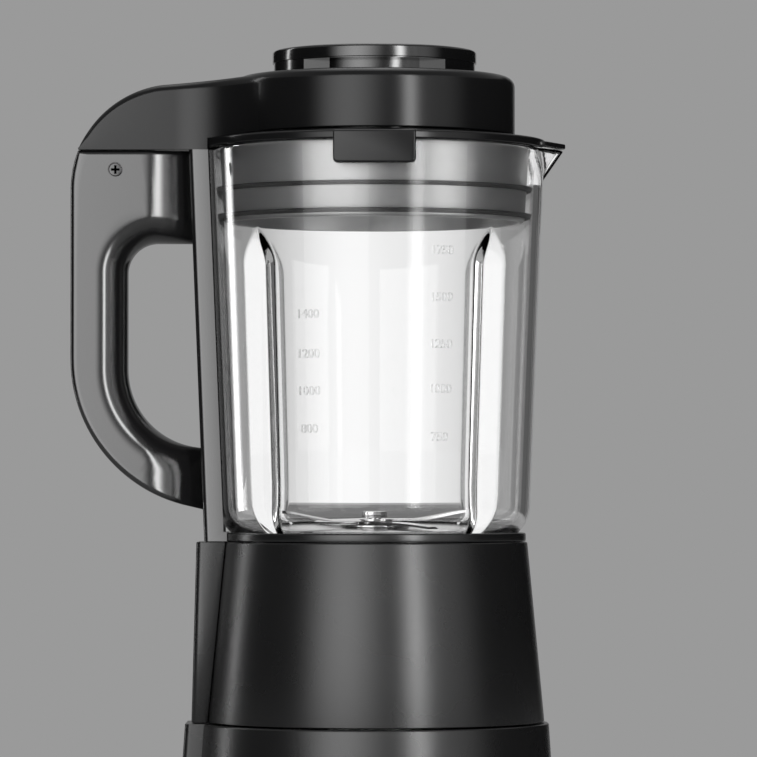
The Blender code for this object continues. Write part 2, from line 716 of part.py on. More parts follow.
def panel_wedge(name, half_sweep, low, high, behind, proud):
    """A curved plate on the front of the lower cone, from a depth behind its face to one proud."""
    outline = [(lower_radius(low) - behind, low), (lower_radius(low) + proud, low),
               (lower_radius(high) + proud, high), (lower_radius(high) - behind, high)]
    steps = max(2, round(half_sweep / math.radians(5)))
    return turned(name, outline, steps, -math.pi / 2 - half_sweep, 2 * half_sweep)


def button_places():
    """Angle and height of each push button, left column first."""
    middle = KNOB_HEIGHT
    rows = [middle + (row - (BUTTON_ROWS - 1) / 2) * BUTTON_PITCH for row in range(BUTTON_ROWS)]
    return [(side * BUTTON_ANGLE, height) for side in (-1, 1) for height in rows]


def radial_rod(name, radius, angle, height, near, far, facets=SMALL_FACETS):
    """A level rod at an angle from the front, between two distances from the axis."""
    x, y = math.sin(angle), -math.cos(angle)
    return rod(name, radius, (x * near, y * near, height), (x * far, y * far, height), facets)


def board_front():
    """Y of the control board's front face."""
    return -(lower_radius(PANEL_LOW_HEIGHT + PANEL_TALLNESS) - HOUSING_WALL - BOARD_SETBACK)


def build_control_panel():
    """Panel, display lens, knob, buttons and board."""
    low = PANEL_LOW_HEIGHT + FIT_GAP
    high = PANEL_LOW_HEIGHT + PANEL_TALLNESS - FIT_GAP
    trim = FIT_GAP / LOWER_TOP_RADIUS
    panel = panel_wedge("control_panel", PANEL_HALF_SWEEP - trim, low, high, HOUSING_WALL, PANEL_PROUD)
    lens_high = high - LENS_TOP_MARGIN
    lens_low = lens_high - LENS_TALLNESS
    for height in (low + BOARD_MARGIN * 2, lens_low - BOARD_MARGIN):
        for side in (-1, 1):
            x = side * (BOARD_WIDTH / 2 - BOARD_MARGIN)
            face = math.sqrt((lower_radius(height) - HOUSING_WALL / 2) ** 2 - x ** 2)
            join(panel, rod("post", PANEL_POST_RADIUS, (x, board_front() - FIT_GAP, height),
                            (x, -face, height), TINY_FACETS))
    reach_in, reach_out = lower_radius(high) - HOUSING_WALL * 3, lower_radius(low) + HOUSING_WALL
    cut(panel, panel_wedge("window", LENS_HALF_SWEEP, lens_low, lens_high, HOUSING_WALL * 2, HOUSING_WALL))
    cut(panel, radial_rod("hole", KNOB_STEM_RADIUS + RUNNING_GAP, 0, KNOB_HEIGHT, reach_in, reach_out))
    for angle, height in button_places():
        cut(panel, radial_rod("hole", BUTTON_RADIUS + RUNNING_GAP, angle, height, reach_in, reach_out))
    lens = panel_wedge("display_lens", LENS_HALF_SWEEP - trim, lens_low + FIT_GAP, lens_high - FIT_GAP,
                       HOUSING_WALL, PANEL_PROUD / 2)
    pieces = [black_plastic(panel), dress(lens, BLACK, 0.05)]
    for index, (angle, height) in enumerate(button_places()):
        face = lower_radius(height) + BUTTON_PROUD
        button = radial_rod(f"button_{index + 1}", BUTTON_RADIUS, angle, height, face - BUTTON_LENGTH, face)
        pieces.append(satin_plastic(button))
    return pieces + [build_knob(), build_board()]


def build_knob():
    """Speed knob with a finger grip round it, a pointer groove and its stem."""
    grips = lobed(KNOB_RADIUS, KNOB_GRIP_DEPTH, KNOB_GRIP_COUNT, 3)
    back = lower_radius(KNOB_HEIGHT - KNOB_RADIUS) + PANEL_PROUD + KNOB_STAND
    front = back + KNOB_THICKNESS
    knob = slab("speed_knob", grips, back, front)
    stem_end = -board_front() + BOARD_THICKNESS
    join(knob, rod("stem", KNOB_STEM_RADIUS, (0, 0, stem_end), (0, 0, back + KNOB_THICKNESS / 2)))
    cut(knob, block("mark", (-KNOB_MARK_WIDTH / 2, KNOB_RADIUS * 0.35, front - KNOB_MARK_DEPTH),
                    (KNOB_MARK_WIDTH / 2, KNOB_RADIUS * 1.2, front + CUT_OVERRUN)))
    turn_about(knob, math.pi / 2, "X")
    return black_plastic(shift(knob, z=KNOB_HEIGHT))


def build_board():
    """Control board behind the panel, with a hole for the knob's stem."""
    low = PANEL_LOW_HEIGHT + BOARD_MARGIN
    high = PANEL_LOW_HEIGHT + PANEL_TALLNESS - BOARD_MARGIN
    front = board_front()
    board = block("control_board", (-BOARD_WIDTH / 2, front, low),
                  (BOARD_WIDTH / 2, front + BOARD_THICKNESS, high))
    cut(board, rod("hole", KNOB_STEM_RADIUS + RUNNING_GAP, (0, front - CUT_OVERRUN, KNOB_HEIGHT),
                   (0, front + BOARD_THICKNESS + CUT_OVERRUN, KNOB_HEIGHT)))
    return dress(board, GREEN, 0.5)


def build_gland():
    """Bushing in the back of the lower housing, where a cord would enter."""
    face = lower_radius(GLAND_HEIGHT - GLAND_FLANGE_RADIUS) + FIT_GAP
    outline = [(GLAND_BORE_RADIUS, face - GLAND_LENGTH), (GLAND_RADIUS, face - GLAND_LENGTH),
               (GLAND_RADIUS, face), (GLAND_FLANGE_RADIUS, face),
               (GLAND_FLANGE_RADIUS, face + GLAND_FLANGE_THICKNESS),
               (GLAND_BORE_RADIUS, face + GLAND_FLANGE_THICKNESS)]
    gland = turned("cord_gland", outline, SMALL_FACETS)
    turn_about(gland, -math.pi / 2, "X")
    return [rubber(shift(gland, z=GLAND_HEIGHT))]


def build_upper_housing():
    """Tapered upper housing with the well that the jug stands in."""
    well_wall = WELL_RADIUS + HOUSING_WALL
    under_floor = WELL_FLOOR - HOUSING_WALL
    under_deck = BASE_TOP - HOUSING_WALL
    outline = [(UPPER_FOOT_RADIUS, UPPER_FLOOR),
               (upper_radius(BASE_TOP - UPPER_ROUNDING), BASE_TOP - UPPER_ROUNDING),
               (UPPER_TOP_RADIUS - UPPER_ROUNDING, BASE_TOP),
               (WELL_RADIUS + UPPER_ROUNDING, BASE_TOP),
               (WELL_RADIUS, BASE_TOP - UPPER_ROUNDING), (WELL_RADIUS, WELL_FLOOR),
               (WELL_PORT_RADIUS, WELL_FLOOR), (WELL_PORT_RADIUS, under_floor),
               (well_wall, under_floor), (well_wall, under_deck),
               (upper_radius(under_deck) - HOUSING_WALL, under_deck),
               (UPPER_FOOT_RADIUS - HOUSING_WALL, UPPER_FLOOR)]
    housing = turned("base_upper_housing", outline, LARGE_FACETS)
    tower = connector_outline(FIT_GAP)
    cut(housing, slab("port", tower, under_floor - CUT_OVERRUN, WELL_FLOOR + CUT_OVERRUN))
    return [satin_plastic(housing)]


def spine_solid(name, low, high, reach_low, reach_high):
    """An upright rib of the base on the handle's side, from the axis out to its rounded edges."""
    rings = []
    for height, reach in ((low, reach_low), (high, reach_high)):
        outline = rounded_box((-reach, -SPINE_HALF_WIDTH), (-reach / 2, SPINE_HALF_WIDTH), SPINE_EDGE)
        rings.append([(x, y, height) for x, y in outline])
    return lofted(name, rings)


def base_clearance(name):
    """A solid that fills the outer form of both housings, a fit gap larger."""
    low, high = LOWER_FLOOR - CUT_OVERRUN, BASE_TOP + CUT_OVERRUN
    outline = [(0, low), (lower_radius(low) + FIT_GAP, low),
               (lower_radius(SEAM_HEIGHT) + FIT_GAP, SEAM_HEIGHT + FIT_GAP),
               (upper_radius(SEAM_HEIGHT) + FIT_GAP, SEAM_HEIGHT + FIT_GAP),
               (upper_radius(high) + FIT_GAP, high), (0, high)]
    return turned(name, outline, LARGE_FACETS * 2)


def build_base_spine():
    """Spine cover that carries the handle column's line down the upper housing, and its switch."""
    upper = spine_solid("base_upper_spine", UPPER_FLOOR, BASE_TOP,
                        UPPER_FOOT_RADIUS + SPINE_STAND_SEAM, UPPER_TOP_RADIUS + SPINE_STAND_TOP)
    cut(upper, base_clearance("clearance"))
    x = switch_place()
    pocket_low = BASE_TOP - HOUSING_WALL - SWITCH_HEIGHT
    cut(upper, block("pocket", (x - SWITCH_DEPTH / 2 - FIT_GAP, -SWITCH_HALF_WIDTH - FIT_GAP, pocket_low),
                     (x + SWITCH_DEPTH / 2 + FIT_GAP, SWITCH_HALF_WIDTH + FIT_GAP,
                      pocket_low + SWITCH_HEIGHT + FIT_GAP)))
    cut(upper, rod("hole", SWITCH_PLUNGER_RADIUS + RUNNING_GAP, (x, 0, pocket_low + SWITCH_HEIGHT / 2),
                   (x, 0, BASE_TOP + CUT_OVERRUN), TINY_FACETS))
    pocket_top = pocket_low + SWITCH_HEIGHT + FIT_GAP
    cut(upper, block("mouth", (x, -SWITCH_HALF_WIDTH - FIT_GAP, pocket_low),
                     (-UPPER_TOP_RADIUS / 2, SWITCH_HALF_WIDTH + FIT_GAP, pocket_top)))
    switch = block("interlock_switch", (x - SWITCH_DEPTH / 2, -SWITCH_HALF_WIDTH, pocket_low + FIT_GAP),
                   (x + SWITCH_DEPTH / 2, SWITCH_HALF_WIDTH, pocket_low + SWITCH_HEIGHT))
    join(switch, rod("plunger", SWITCH_PLUNGER_RADIUS, (x, 0, pocket_low + SWITCH_HEIGHT / 2),
                     (x, 0, BASE_TOP), TINY_FACETS))
    return [satin_plastic(upper), black_plastic(switch)]


def switch_place():
    """X of the interlock switch, under the foot of the interlock rod."""
    return -(glass_radius(COLLAR_FLOOR) + ROD_STAND)


# Connector

def connector_outline(extra):
    """Plan of the connector's tower in the well, a little larger where a gap is wanted."""
    return rounded_box((-CONNECTOR_CENTRE - CONNECTOR_DEPTH / 2 - extra, -CONNECTOR_HALF_WIDTH - extra),
                       (-CONNECTOR_CENTRE + CONNECTOR_DEPTH / 2 + extra, CONNECTOR_HALF_WIDTH + extra),
                       CONNECTOR_SHROUD, 2)


def pin_places():
    """Plan of the three connector pins."""
    return [(-CONNECTOR_CENTRE, step * PIN_PITCH) for step in (-1, 0, 1)]


def build_connectors():
    """Socket tower in the base's well and the shrouded pins under the jug."""
    foot = WELL_FLOOR - HOUSING_WALL
    top = WELL_FLOOR + CONNECTOR_TOWER
    socket = slab("connector_socket", connector_outline(0.0), foot, top)
    for x, y in pin_places():
        cut(socket, rod("hole", PIN_RADIUS + PIN_HOLE_CLEARANCE, (x, y, WELL_FLOOR),
                        (x, y, top + CUT_OVERRUN), TINY_FACETS))
    low = jug_cover_floor()
    roof = top + RUNNING_GAP * 2
    shroud = connector_outline(CONNECTOR_SHROUD + RUNNING_GAP)
    plug = slab("jug_connector", shroud, low, roof + CONNECTOR_ROOF)
    cut(plug, slab("recess", connector_outline(RUNNING_GAP), low - CUT_OVERRUN, roof))
    for x, y in pin_places():
        join(plug, rod("pin", PIN_RADIUS, (x, y, WELL_FLOOR + RUNNING_GAP * 2),
                       (x, y, roof + CONNECTOR_ROOF / 2), TINY_FACETS))
    return [satin_plastic(socket)], [satin_plastic(plug)]


# Motor

def can_floor_top():
    """Height of the motor can's inside floor."""
    return CAN_FLOOR_HEIGHT + CAN_WALL


def bracket_floor():
    """Height of the upper bracket's underside."""
    return CAN_FLOOR_HEIGHT + CAN_HEIGHT + FIT_GAP


def build_motor_frame():
    """Motor can with its mounting plate, and the bracket that closes it and holds the brushes."""
    housing_bore = BEARING_RADIUS + FIT_GAP
    top = CAN_FLOOR_HEIGHT + CAN_HEIGHT
    plate_radius = upper_radius(top) - HOUSING_WALL - FIT_GAP * 2
    hub = housing_bore + BEARING_HOUSING_WALL
    can = turned("motor_frame", [
        (housing_bore, CAN_FLOOR_HEIGHT), (CAN_RADIUS, CAN_FLOOR_HEIGHT), (CAN_RADIUS, top - CAN_WALL),
        (plate_radius, top - CAN_WALL), (plate_radius, top), (CAN_RADIUS - CAN_WALL, top),
        (CAN_RADIUS - CAN_WALL, can_floor_top()), (hub, can_floor_top()),
        (hub, CAN_FLOOR_HEIGHT + BEARING_HEIGHT), (housing_bore, CAN_FLOOR_HEIGHT + BEARING_HEIGHT)],
        MEDIUM_FACETS)
    low = bracket_floor()
    bracket = turned("motor_bracket", [
        (housing_bore, low), (CAN_RADIUS, low), (CAN_RADIUS, low + BRACKET_THICKNESS),
        (hub, low + BRACKET_THICKNESS), (hub, low + BEARING_HEIGHT), (housing_bore, low + BEARING_HEIGHT)],
        MEDIUM_FACETS)
    inner = COMMUTATOR_RADIUS + RUNNING_GAP
    for side in (-1, 1):
        near, far = sorted((side * inner, side * (inner + BRUSH_LENGTH)))
        join(bracket, block("brush_holder", (near, -BRUSH_WIDTH / 2, low - BRUSH_HEIGHT),
                            (far, BRUSH_WIDTH / 2, low + BRACKET_THICKNESS / 2)))
    return [steel(can), steel(bracket)]


def build_stator():
    """Stator ring in the can and the coil ends on it."""
    outer = CAN_RADIUS - CAN_WALL - FIT_GAP
    low = can_floor_top() + STATOR_RISE
    high = low + STATOR_HEIGHT
    hub = BEARING_RADIUS + FIT_GAP * 2 + BEARING_HOUSING_WALL
    ring = turned("stator_core", [
        (outer - STATOR_WALL, low), (outer - STATOR_WALL / 2, low),
        (outer - STATOR_WALL / 2, can_floor_top() + FIT_GAP),
        (outer, can_floor_top() + FIT_GAP), (outer, high), (outer - STATOR_WALL, high)], MEDIUM_FACETS)
    assert outer - STATOR_WALL > hub
    inner = outer - STATOR_WALL + FIT_GAP
    coil = turned("field_coil", [
        (inner, high + FIT_GAP), (inner + COIL_WALL, high + FIT_GAP),
        (inner + COIL_WALL, high + COIL_HEIGHT), (inner, high + COIL_HEIGHT)], SMALL_FACETS * 2)
    return [steel(ring), copper(coil)]


def build_rotor():
    """Everything that turns with the motor shaft."""
    bore = SHAFT_RADIUS + FIT_GAP
    stator_inner = CAN_RADIUS - CAN_WALL - FIT_GAP - STATOR_WALL
    low = can_floor_top() + STATOR_RISE
    high = low + STATOR_HEIGHT
    radius = stator_inner - ARMATURE_GAP
    armature = slab("armature", lobed(radius - ARMATURE_SLOT_DEPTH / 2, ARMATURE_SLOT_DEPTH / 2,
                                      ARMATURE_SLOTS, 4), low, high)
    cut(armature, rod("bore", bore, (0, 0, low - CUT_OVERRUN), (0, 0, high + CUT_OVERRUN)))
    commutator_low = bracket_floor() - FIT_GAP - COMMUTATOR_HEIGHT
    commutator = turned("commutator", [
        (bore, commutator_low), (COMMUTATOR_RADIUS, commutator_low),
        (COMMUTATOR_RADIUS, commutator_low + COMMUTATOR_HEIGHT - FIT_GAP),
        (bore, commutator_low + COMMUTATOR_HEIGHT - FIT_GAP)], SMALL_FACETS)
    bearings = []
    for name, foot in (("lower_bearing", CAN_FLOOR_HEIGHT), ("upper_bearing", bracket_floor())):
        outline = [(bore, foot), (BEARING_RADIUS, foot), (BEARING_RADIUS, foot + BEARING_HEIGHT),
                   (bore, foot + BEARING_HEIGHT)]
        bearings.append(steel(turned(name, outline, SMALL_FACETS)))
    shaft_top = WELL_FLOOR - HOUSING_WALL + SOCKET_FLOOR - FIT_GAP
    shaft = rod("motor_shaft", SHAFT_RADIUS, (0, 0, SHAFT_FOOT_HEIGHT), (0, 0, shaft_top))
    rotor = [steel(armature), copper(commutator), steel(shaft), build_fan(), build_drive_socket()]
    return rotor, bearings


def build_fan():
    """Cooling fan with straight vanes under a plate."""
    bore = SHAFT_RADIUS + FIT_GAP
    top = FAN_HEIGHT + FAN_VANE_HEIGHT
    fan = turned("cooling_fan", [
        (bore, FAN_HEIGHT), (FAN_HUB_RADIUS, FAN_HEIGHT), (FAN_HUB_RADIUS, top), (FAN_RADIUS, top),
        (FAN_RADIUS, top + FAN_PLATE_THICKNESS), (bore, top + FAN_PLATE_THICKNESS)], SMALL_FACETS)
    for index in range(FAN_VANE_COUNT):
        half = FAN_VANE_THICKNESS / 2
        vane = block("vane", (FAN_HUB_RADIUS * 0.8, -half, FAN_HEIGHT + FAN_VANE_THICKNESS),
                     (FAN_RADIUS * 0.97, half, top + FAN_PLATE_THICKNESS / 2))
        join(fan, turn_about(vane, FULL_TURN * index / FAN_VANE_COUNT))
    return black_plastic(fan)


def build_drive_socket():
    """Lobed socket on the shaft's head, which the jug's coupling drops into."""
    foot = WELL_FLOOR - HOUSING_WALL
    floor = foot + SOCKET_FLOOR
    top = floor + SOCKET_DEPTH
    bore = SHAFT_RADIUS + FIT_GAP
    socket = turned("drive_socket", [(bore, foot), (SOCKET_RADIUS, foot), (SOCKET_RADIUS, top),
                                     (bore, top)], MEDIUM_FACETS)
    outline = lobed(LOBE_RADIUS + RUNNING_GAP, LOBE_HEIGHT, LOBE_COUNT, LOBE_POINTS)
    return black_plastic(cut(socket, slab("pocket", outline, floor, top + CUT_OVERRUN)))


def build_well_seal():
    """Rubber ring between the well's port and the drive socket."""
    low = WELL_FLOOR - HOUSING_WALL
    inner, outer = SOCKET_RADIUS + RUNNING_GAP, WELL_PORT_RADIUS - FIT_GAP
    outline = [(inner, low), (outer, low), (outer, low + WELL_SEAL_HEIGHT * 0.6),
               (inner, low + WELL_SEAL_HEIGHT)]
    return [rubber(turned("well_seal", outline, MEDIUM_FACETS))]


# Jug

def rib_half_width(height):
    """Half width of a glass rib at a height: a pointed head and a foot that narrows."""
    top = GLASS_RIM - RIB_TOP_DROP
    head = min(1.0, max(0.0, (top - height) / RIB_POINT_LENGTH))
    foot = min(1.0, max(0.0, (height - GLASS_FLOOR - GLASS_WALL) / RIB_FOOT_LENGTH))
    return RIB_HALF_WIDTH * (0.28 + 0.72 * math.sin(head * math.pi / 2)) * (0.55 + 0.45 * foot)


def rib_crest(height):
    """How far a glass rib stands in from the wall at a height."""
    top = GLASS_RIM - RIB_TOP_DROP
    head = min(1.0, max(0.0, (top - height) / RIB_POINT_LENGTH))
    return RIB_CREST_HEIGHT * math.sin(head * math.pi / 2)


def spout_growth(height):
    """Share of the spout's full size at a height, from its pointed foot to the rim."""
    return min(1.0, max(0.0, (height - GLASS_RIM + SPOUT_DROP) / SPOUT_DROP))


def wall_angles(height):
    """Angles round the glass at a height: evenly spread, with closer ones at ribs and spout.

    Each entry is (angle, share of the rib's crest, share of the spout's reach).
    """
    entries = []
    rib_shares = ((-1.0, 0.0), (0.0, 1.0), (1.0, 0.0))
    half_sweep = SPOUT_HALF_SWEEP * max(SPOUT_FOOT_SHARE, spout_growth(height))
    half = rib_half_width(height) / GLASS_FOOT_RADIUS
    quarter = FULL_TURN / RIB_COUNT
    spread = quarter / 2 - RIB_HALF_WIDTH / GLASS_FOOT_RADIUS - CLEAR_STEP
    for index in range(RIB_COUNT):
        for place, crest in rib_shares:
            entries.append((quarter * (index + 0.5) + half * place, crest, 0.0))
        clear = quarter * (index + 1)
        if index == RIB_COUNT - 1:
            beside = (spread - half_sweep) / 3
            entries += [(clear - spread + beside * step, 0.0, 0.0) for step in range(3)]
            entries += [(clear + half_sweep * place, 0.0, (1 - abs(place)) ** SPOUT_CURVE)
                        for place in SPOUT_PLACE_SHARES]
            entries += [(clear + spread - beside * step, 0.0, 0.0) for step in (2, 1, 0)]
        else:
            entries += [(clear + spread * step / 3, 0.0, 0.0) for step in range(-3, 4)]
    return entries


def build_glass():
    """Glass jug: tapered wall with a curved foot, inward ribs and a pouring spout."""
    quarter = math.pi / 2
    centre = GLASS_FOOT_RADIUS - GLASS_CORNER_RADIUS
    outer = [(GLASS_PORT_RADIUS, GLASS_FLOOR)]
    outer += arc((centre, CORNER_CENTRE_HEIGHT), GLASS_CORNER_RADIUS, -quarter, 0.0, 4)
    spout_foot = GLASS_RIM - SPOUT_DROP
    outer.append((glass_radius(spout_foot), spout_foot))
    outer.append((glass_radius(GLASS_RIM - SPOUT_DROP / 2), GLASS_RIM - SPOUT_DROP / 2))
    outer.append((glass_radius(GLASS_RIM - GLASS_RIM_ROUNDING), GLASS_RIM - GLASS_RIM_ROUNDING))
    outer.append((GLASS_RIM_RADIUS - GLASS_RIM_ROUNDING, GLASS_RIM))
    inner = [(GLASS_RIM_RADIUS - GLASS_WALL + GLASS_RIM_ROUNDING, GLASS_RIM)]
    lip = GLASS_RIM - GLASS_RIM_ROUNDING
    inner.append((glass_radius(lip) - GLASS_WALL, lip))
    inner.append((glass_radius(GLASS_RIM - SPOUT_DROP / 2) - GLASS_WALL, GLASS_RIM - SPOUT_DROP / 2))
    inner.append((glass_radius(spout_foot) - GLASS_WALL, spout_foot))
    rib_top = GLASS_RIM - RIB_TOP_DROP
    for point_share in (0.0, 0.3, 1.0):
        height = rib_top - RIB_POINT_LENGTH * point_share
        inner.append((glass_radius(height) - GLASS_WALL, height))
    inner += arc((centre, CORNER_CENTRE_HEIGHT), GLASS_CORNER_RADIUS - GLASS_WALL, 0.0, -quarter, 3)
    inner.append((GLASS_PORT_RADIUS, GLASS_FLOOR + GLASS_WALL))
    rings = []
    inside_from = len(outer)
    for index, (radius, height) in enumerate(outer + inner):
        inside = index >= inside_from
        ring = []
        reach = SPOUT_REACH * spout_growth(height)
        crest_height = rib_crest(height) if inside and radius > GLASS_PORT_RADIUS else 0.0
        for angle, crest, spout in wall_angles(height):
            distance = radius - crest * crest_height + spout * reach
            ring.append((distance * math.cos(angle), distance * math.sin(angle), height))
        rings.append(ring)
    return [dress(lofted("glass_jug", rings, closed=True), CLEAR, 0.02, 0.0, 0.35)]


def jug_cover_floor():
    """Height of the jug base cover's underside."""
    return WELL_FLOOR + COVER_FLOOR_CLEARANCE


def build_collar():
    """Black ring that holds the glass, with the skirt that drops into the base's well."""
    skirt = WELL_RADIUS - COLLAR_SKIRT_CLEARANCE
    skirt_inner = skirt - COLLAR_SKIRT_WALL
    skirt_floor = jug_cover_floor() + JUG_COVER_THICKNESS + FIT_GAP
    seat_radius = GLASS_CORNER_RADIUS + COLLAR_SEAT_GAP
    centre = GLASS_FOOT_RADIUS - GLASS_CORNER_RADIUS
    top_angle = -math.asin((CORNER_CENTRE_HEIGHT - COLLAR_TOP) / seat_radius)
    low_angle = -math.acos((skirt_inner - centre) / seat_radius)
    seat = arc((centre, CORNER_CENTRE_HEIGHT), seat_radius, low_angle, top_angle, 2)
    outline = seat + [(COLLAR_RADIUS - COLLAR_ROUNDING, COLLAR_TOP),
                      (COLLAR_RADIUS, COLLAR_TOP - COLLAR_ROUNDING), (COLLAR_RADIUS, COLLAR_FLOOR),
                      (skirt, COLLAR_FLOOR), (skirt, skirt_floor), (skirt_inner, skirt_floor)]
    return [black_plastic(turned("jug_collar", outline, LARGE_FACETS))]


def build_jug_cover():
    """Cover under the jug, with ports for the drive and the connector."""
    radius = WELL_RADIUS - COLLAR_SKIRT_CLEARANCE
    low = jug_cover_floor()
    top = low + JUG_COVER_THICKNESS
    ring = radius - COLLAR_SKIRT_WALL - FIT_GAP
    outline = [(JUG_COVER_PORT_RADIUS, low), (radius, low), (radius, top), (ring, top),
               (ring, top + JUG_COVER_UPSTAND), (ring - JUG_COVER_THICKNESS, top + JUG_COVER_UPSTAND),
               (ring - JUG_COVER_THICKNESS, top), (JUG_COVER_PORT_RADIUS, top)]
    cover = turned("jug_base_cover", outline, MEDIUM_FACETS)
    port = connector_outline(CONNECTOR_SHROUD + RUNNING_GAP + FIT_GAP)
    return [satin_plastic(cut(cover, slab("port", port, low - CUT_OVERRUN, top + CUT_OVERRUN)))]


def plate_levels():
    """Heights of the heating plate: underside of its flange and top of its raised floor."""
    flange_floor = GLASS_FLOOR - FIT_GAP * 2 - SEAL_THICKNESS - PLATE_THICKNESS
    return flange_floor, flange_floor + PLATE_THICKNESS + PLATE_RISE


def build_heater():
    """Heating plate with its raised floor, its seal, the element under it and the sensor."""
    flange_floor, floor_top = plate_levels()
    rise = GLASS_PORT_RADIUS - GLASS_PORT_CLEARANCE
    under = floor_top - PLATE_THICKNESS
    hole = HOUSING_RADIUS + FIT_GAP
    edge = GLASS_PORT_RADIUS + PLATE_FLANGE
    plate = turned("heating_plate", [
        (hole, under), (rise - PLATE_THICKNESS * 1.5, under),
        (rise - PLATE_THICKNESS, under - PLATE_THICKNESS / 2),
        (rise - PLATE_THICKNESS, flange_floor), (edge, flange_floor),
        (edge, flange_floor + PLATE_THICKNESS), (rise, flange_floor + PLATE_THICKNESS),
        (rise, floor_top - PLATE_THICKNESS / 2),
        (rise - PLATE_THICKNESS / 2, floor_top), (hole, floor_top)], MEDIUM_FACETS)
    seal_low = flange_floor + PLATE_THICKNESS + FIT_GAP
    seal = turned("jug_seal", [(rise + FIT_GAP, seal_low), (edge, seal_low),
                               (edge, seal_low + SEAL_THICKNESS),
                               (rise + FIT_GAP, seal_low + SEAL_THICKNESS)], MEDIUM_FACETS)
    sensor_top = under - FIT_GAP
    y = SENSOR_CIRCLE_RADIUS
    sensor = rod("temperature_sensor", SENSOR_RADIUS, (0, y, sensor_top - SENSOR_HEIGHT),
                 (0, y, sensor_top), TINY_FACETS)
    return [steel(plate), rubber(seal), build_element(under), steel(sensor)]


def build_element(under):
    """Sheathed element: an open ring under the plate with its two ends turned down."""
    height = under - FIT_GAP - ELEMENT_TUBE_RADIUS
    start = math.pi - ELEMENT_SWEEP / 2 + math.pi
    path = []
    for step in range(ELEMENT_STEPS + 1):
        angle = start + ELEMENT_SWEEP * step / ELEMENT_STEPS
        path.append(Vector((ELEMENT_CIRCLE_RADIUS * math.cos(angle),
                            ELEMENT_CIRCLE_RADIUS * math.sin(angle), height)))
    rings = []
    for index, point in enumerate(path):
        ahead = path[min(index + 1, len(path) - 1)] - path[max(index - 1, 0)]
        rings.append(tube_ring(point, ahead.normalized(), ELEMENT_TUBE_RADIUS))
    element = lofted("heating_element", rings)
    for end in (path[1], path[-2]):
        foot = end - Vector((0, 0, ELEMENT_TUBE_RADIUS + ELEMENT_TAIL))
        join(element, rod("terminal", ELEMENT_TUBE_RADIUS * 0.5, foot, end, TINY_FACETS))
    return steel(element)


def tube_ring(point, ahead, radius, facets=6):
    """A ring of points round a path point, square to the way ahead."""
    side = ahead.cross(Vector((0, 0, 1))).normalized()
    up = side.cross(ahead).normalized()
    return [point + side * (radius * math.cos(FULL_TURN * step / facets))
            + up * (radius * math.sin(FULL_TURN * step / facets)) for step in range(facets)]


# Blades

def blade_levels():
    """Heights that the blade pieces share: flange top, lower blade, upper blade and nut."""
    flange_top = plate_levels()[1] + FIT_GAP + HOUSING_FLANGE_THICKNESS
    lower = flange_top + RUNNING_GAP
    upper = lower + BLADE_THICKNESS + FIT_GAP
    nut = upper + BLADE_THICKNESS + FIT_GAP
    return flange_top, lower, upper, nut


def build_blade_housing():
    """Bearing housing through the heating plate, its nut, bearing and seal."""
    floor_top = plate_levels()[1]
    flange_low = floor_top + FIT_GAP
    flange_top = blade_levels()[0]
    foot = floor_top - HOUSING_DROP
    bore = SHAFT_RADIUS + RUNNING_GAP
    bearing_pocket = BLADE_BEARING_RADIUS + FIT_GAP
    seal_pocket = BLADE_SEAL_RADIUS + FIT_GAP
    bearing_top = foot + BLADE_BEARING_HEIGHT + FIT_GAP
    seal_low = flange_top - BLADE_SEAL_HEIGHT - FIT_GAP
    housing = turned("blade_bearing_housing", [
        (bearing_pocket, foot), (HOUSING_RADIUS, foot), (HOUSING_RADIUS, flange_low),
        (HOUSING_FLANGE_RADIUS, flange_low), (HOUSING_FLANGE_RADIUS - FIT_GAP, flange_top),
        (seal_pocket, flange_top), (seal_pocket, seal_low), (bore, seal_low), (bore, bearing_top),
        (bearing_pocket, bearing_top)], SMALL_FACETS)
    nut_top = floor_top - PLATE_THICKNESS - FIT_GAP
    nut = slab("housing_nut", hexagon(HOUSING_NUT_RADIUS), nut_top - HOUSING_NUT_HEIGHT, nut_top)
    cut(nut, rod("bore", HOUSING_RADIUS + FIT_GAP, (0, 0, nut_top - HOUSING_NUT_HEIGHT - CUT_OVERRUN),
                 (0, 0, nut_top + CUT_OVERRUN), MEDIUM_FACETS))
    shaft_bore = SHAFT_RADIUS + FIT_GAP
    bearing = turned("blade_bearing", [
        (shaft_bore, foot), (BLADE_BEARING_RADIUS, foot),
        (BLADE_BEARING_RADIUS, foot + BLADE_BEARING_HEIGHT),
        (shaft_bore, foot + BLADE_BEARING_HEIGHT)], SMALL_FACETS)
    seal_floor = seal_low + FIT_GAP
    seal = turned("blade_seal", [
        (shaft_bore, seal_floor), (BLADE_SEAL_RADIUS, seal_floor),
        (BLADE_SEAL_RADIUS, seal_floor + BLADE_SEAL_HEIGHT),
        (shaft_bore, seal_floor + BLADE_SEAL_HEIGHT * 0.7)], SMALL_FACETS)
    return [steel(housing), steel(nut), steel(bearing), rubber(seal)]


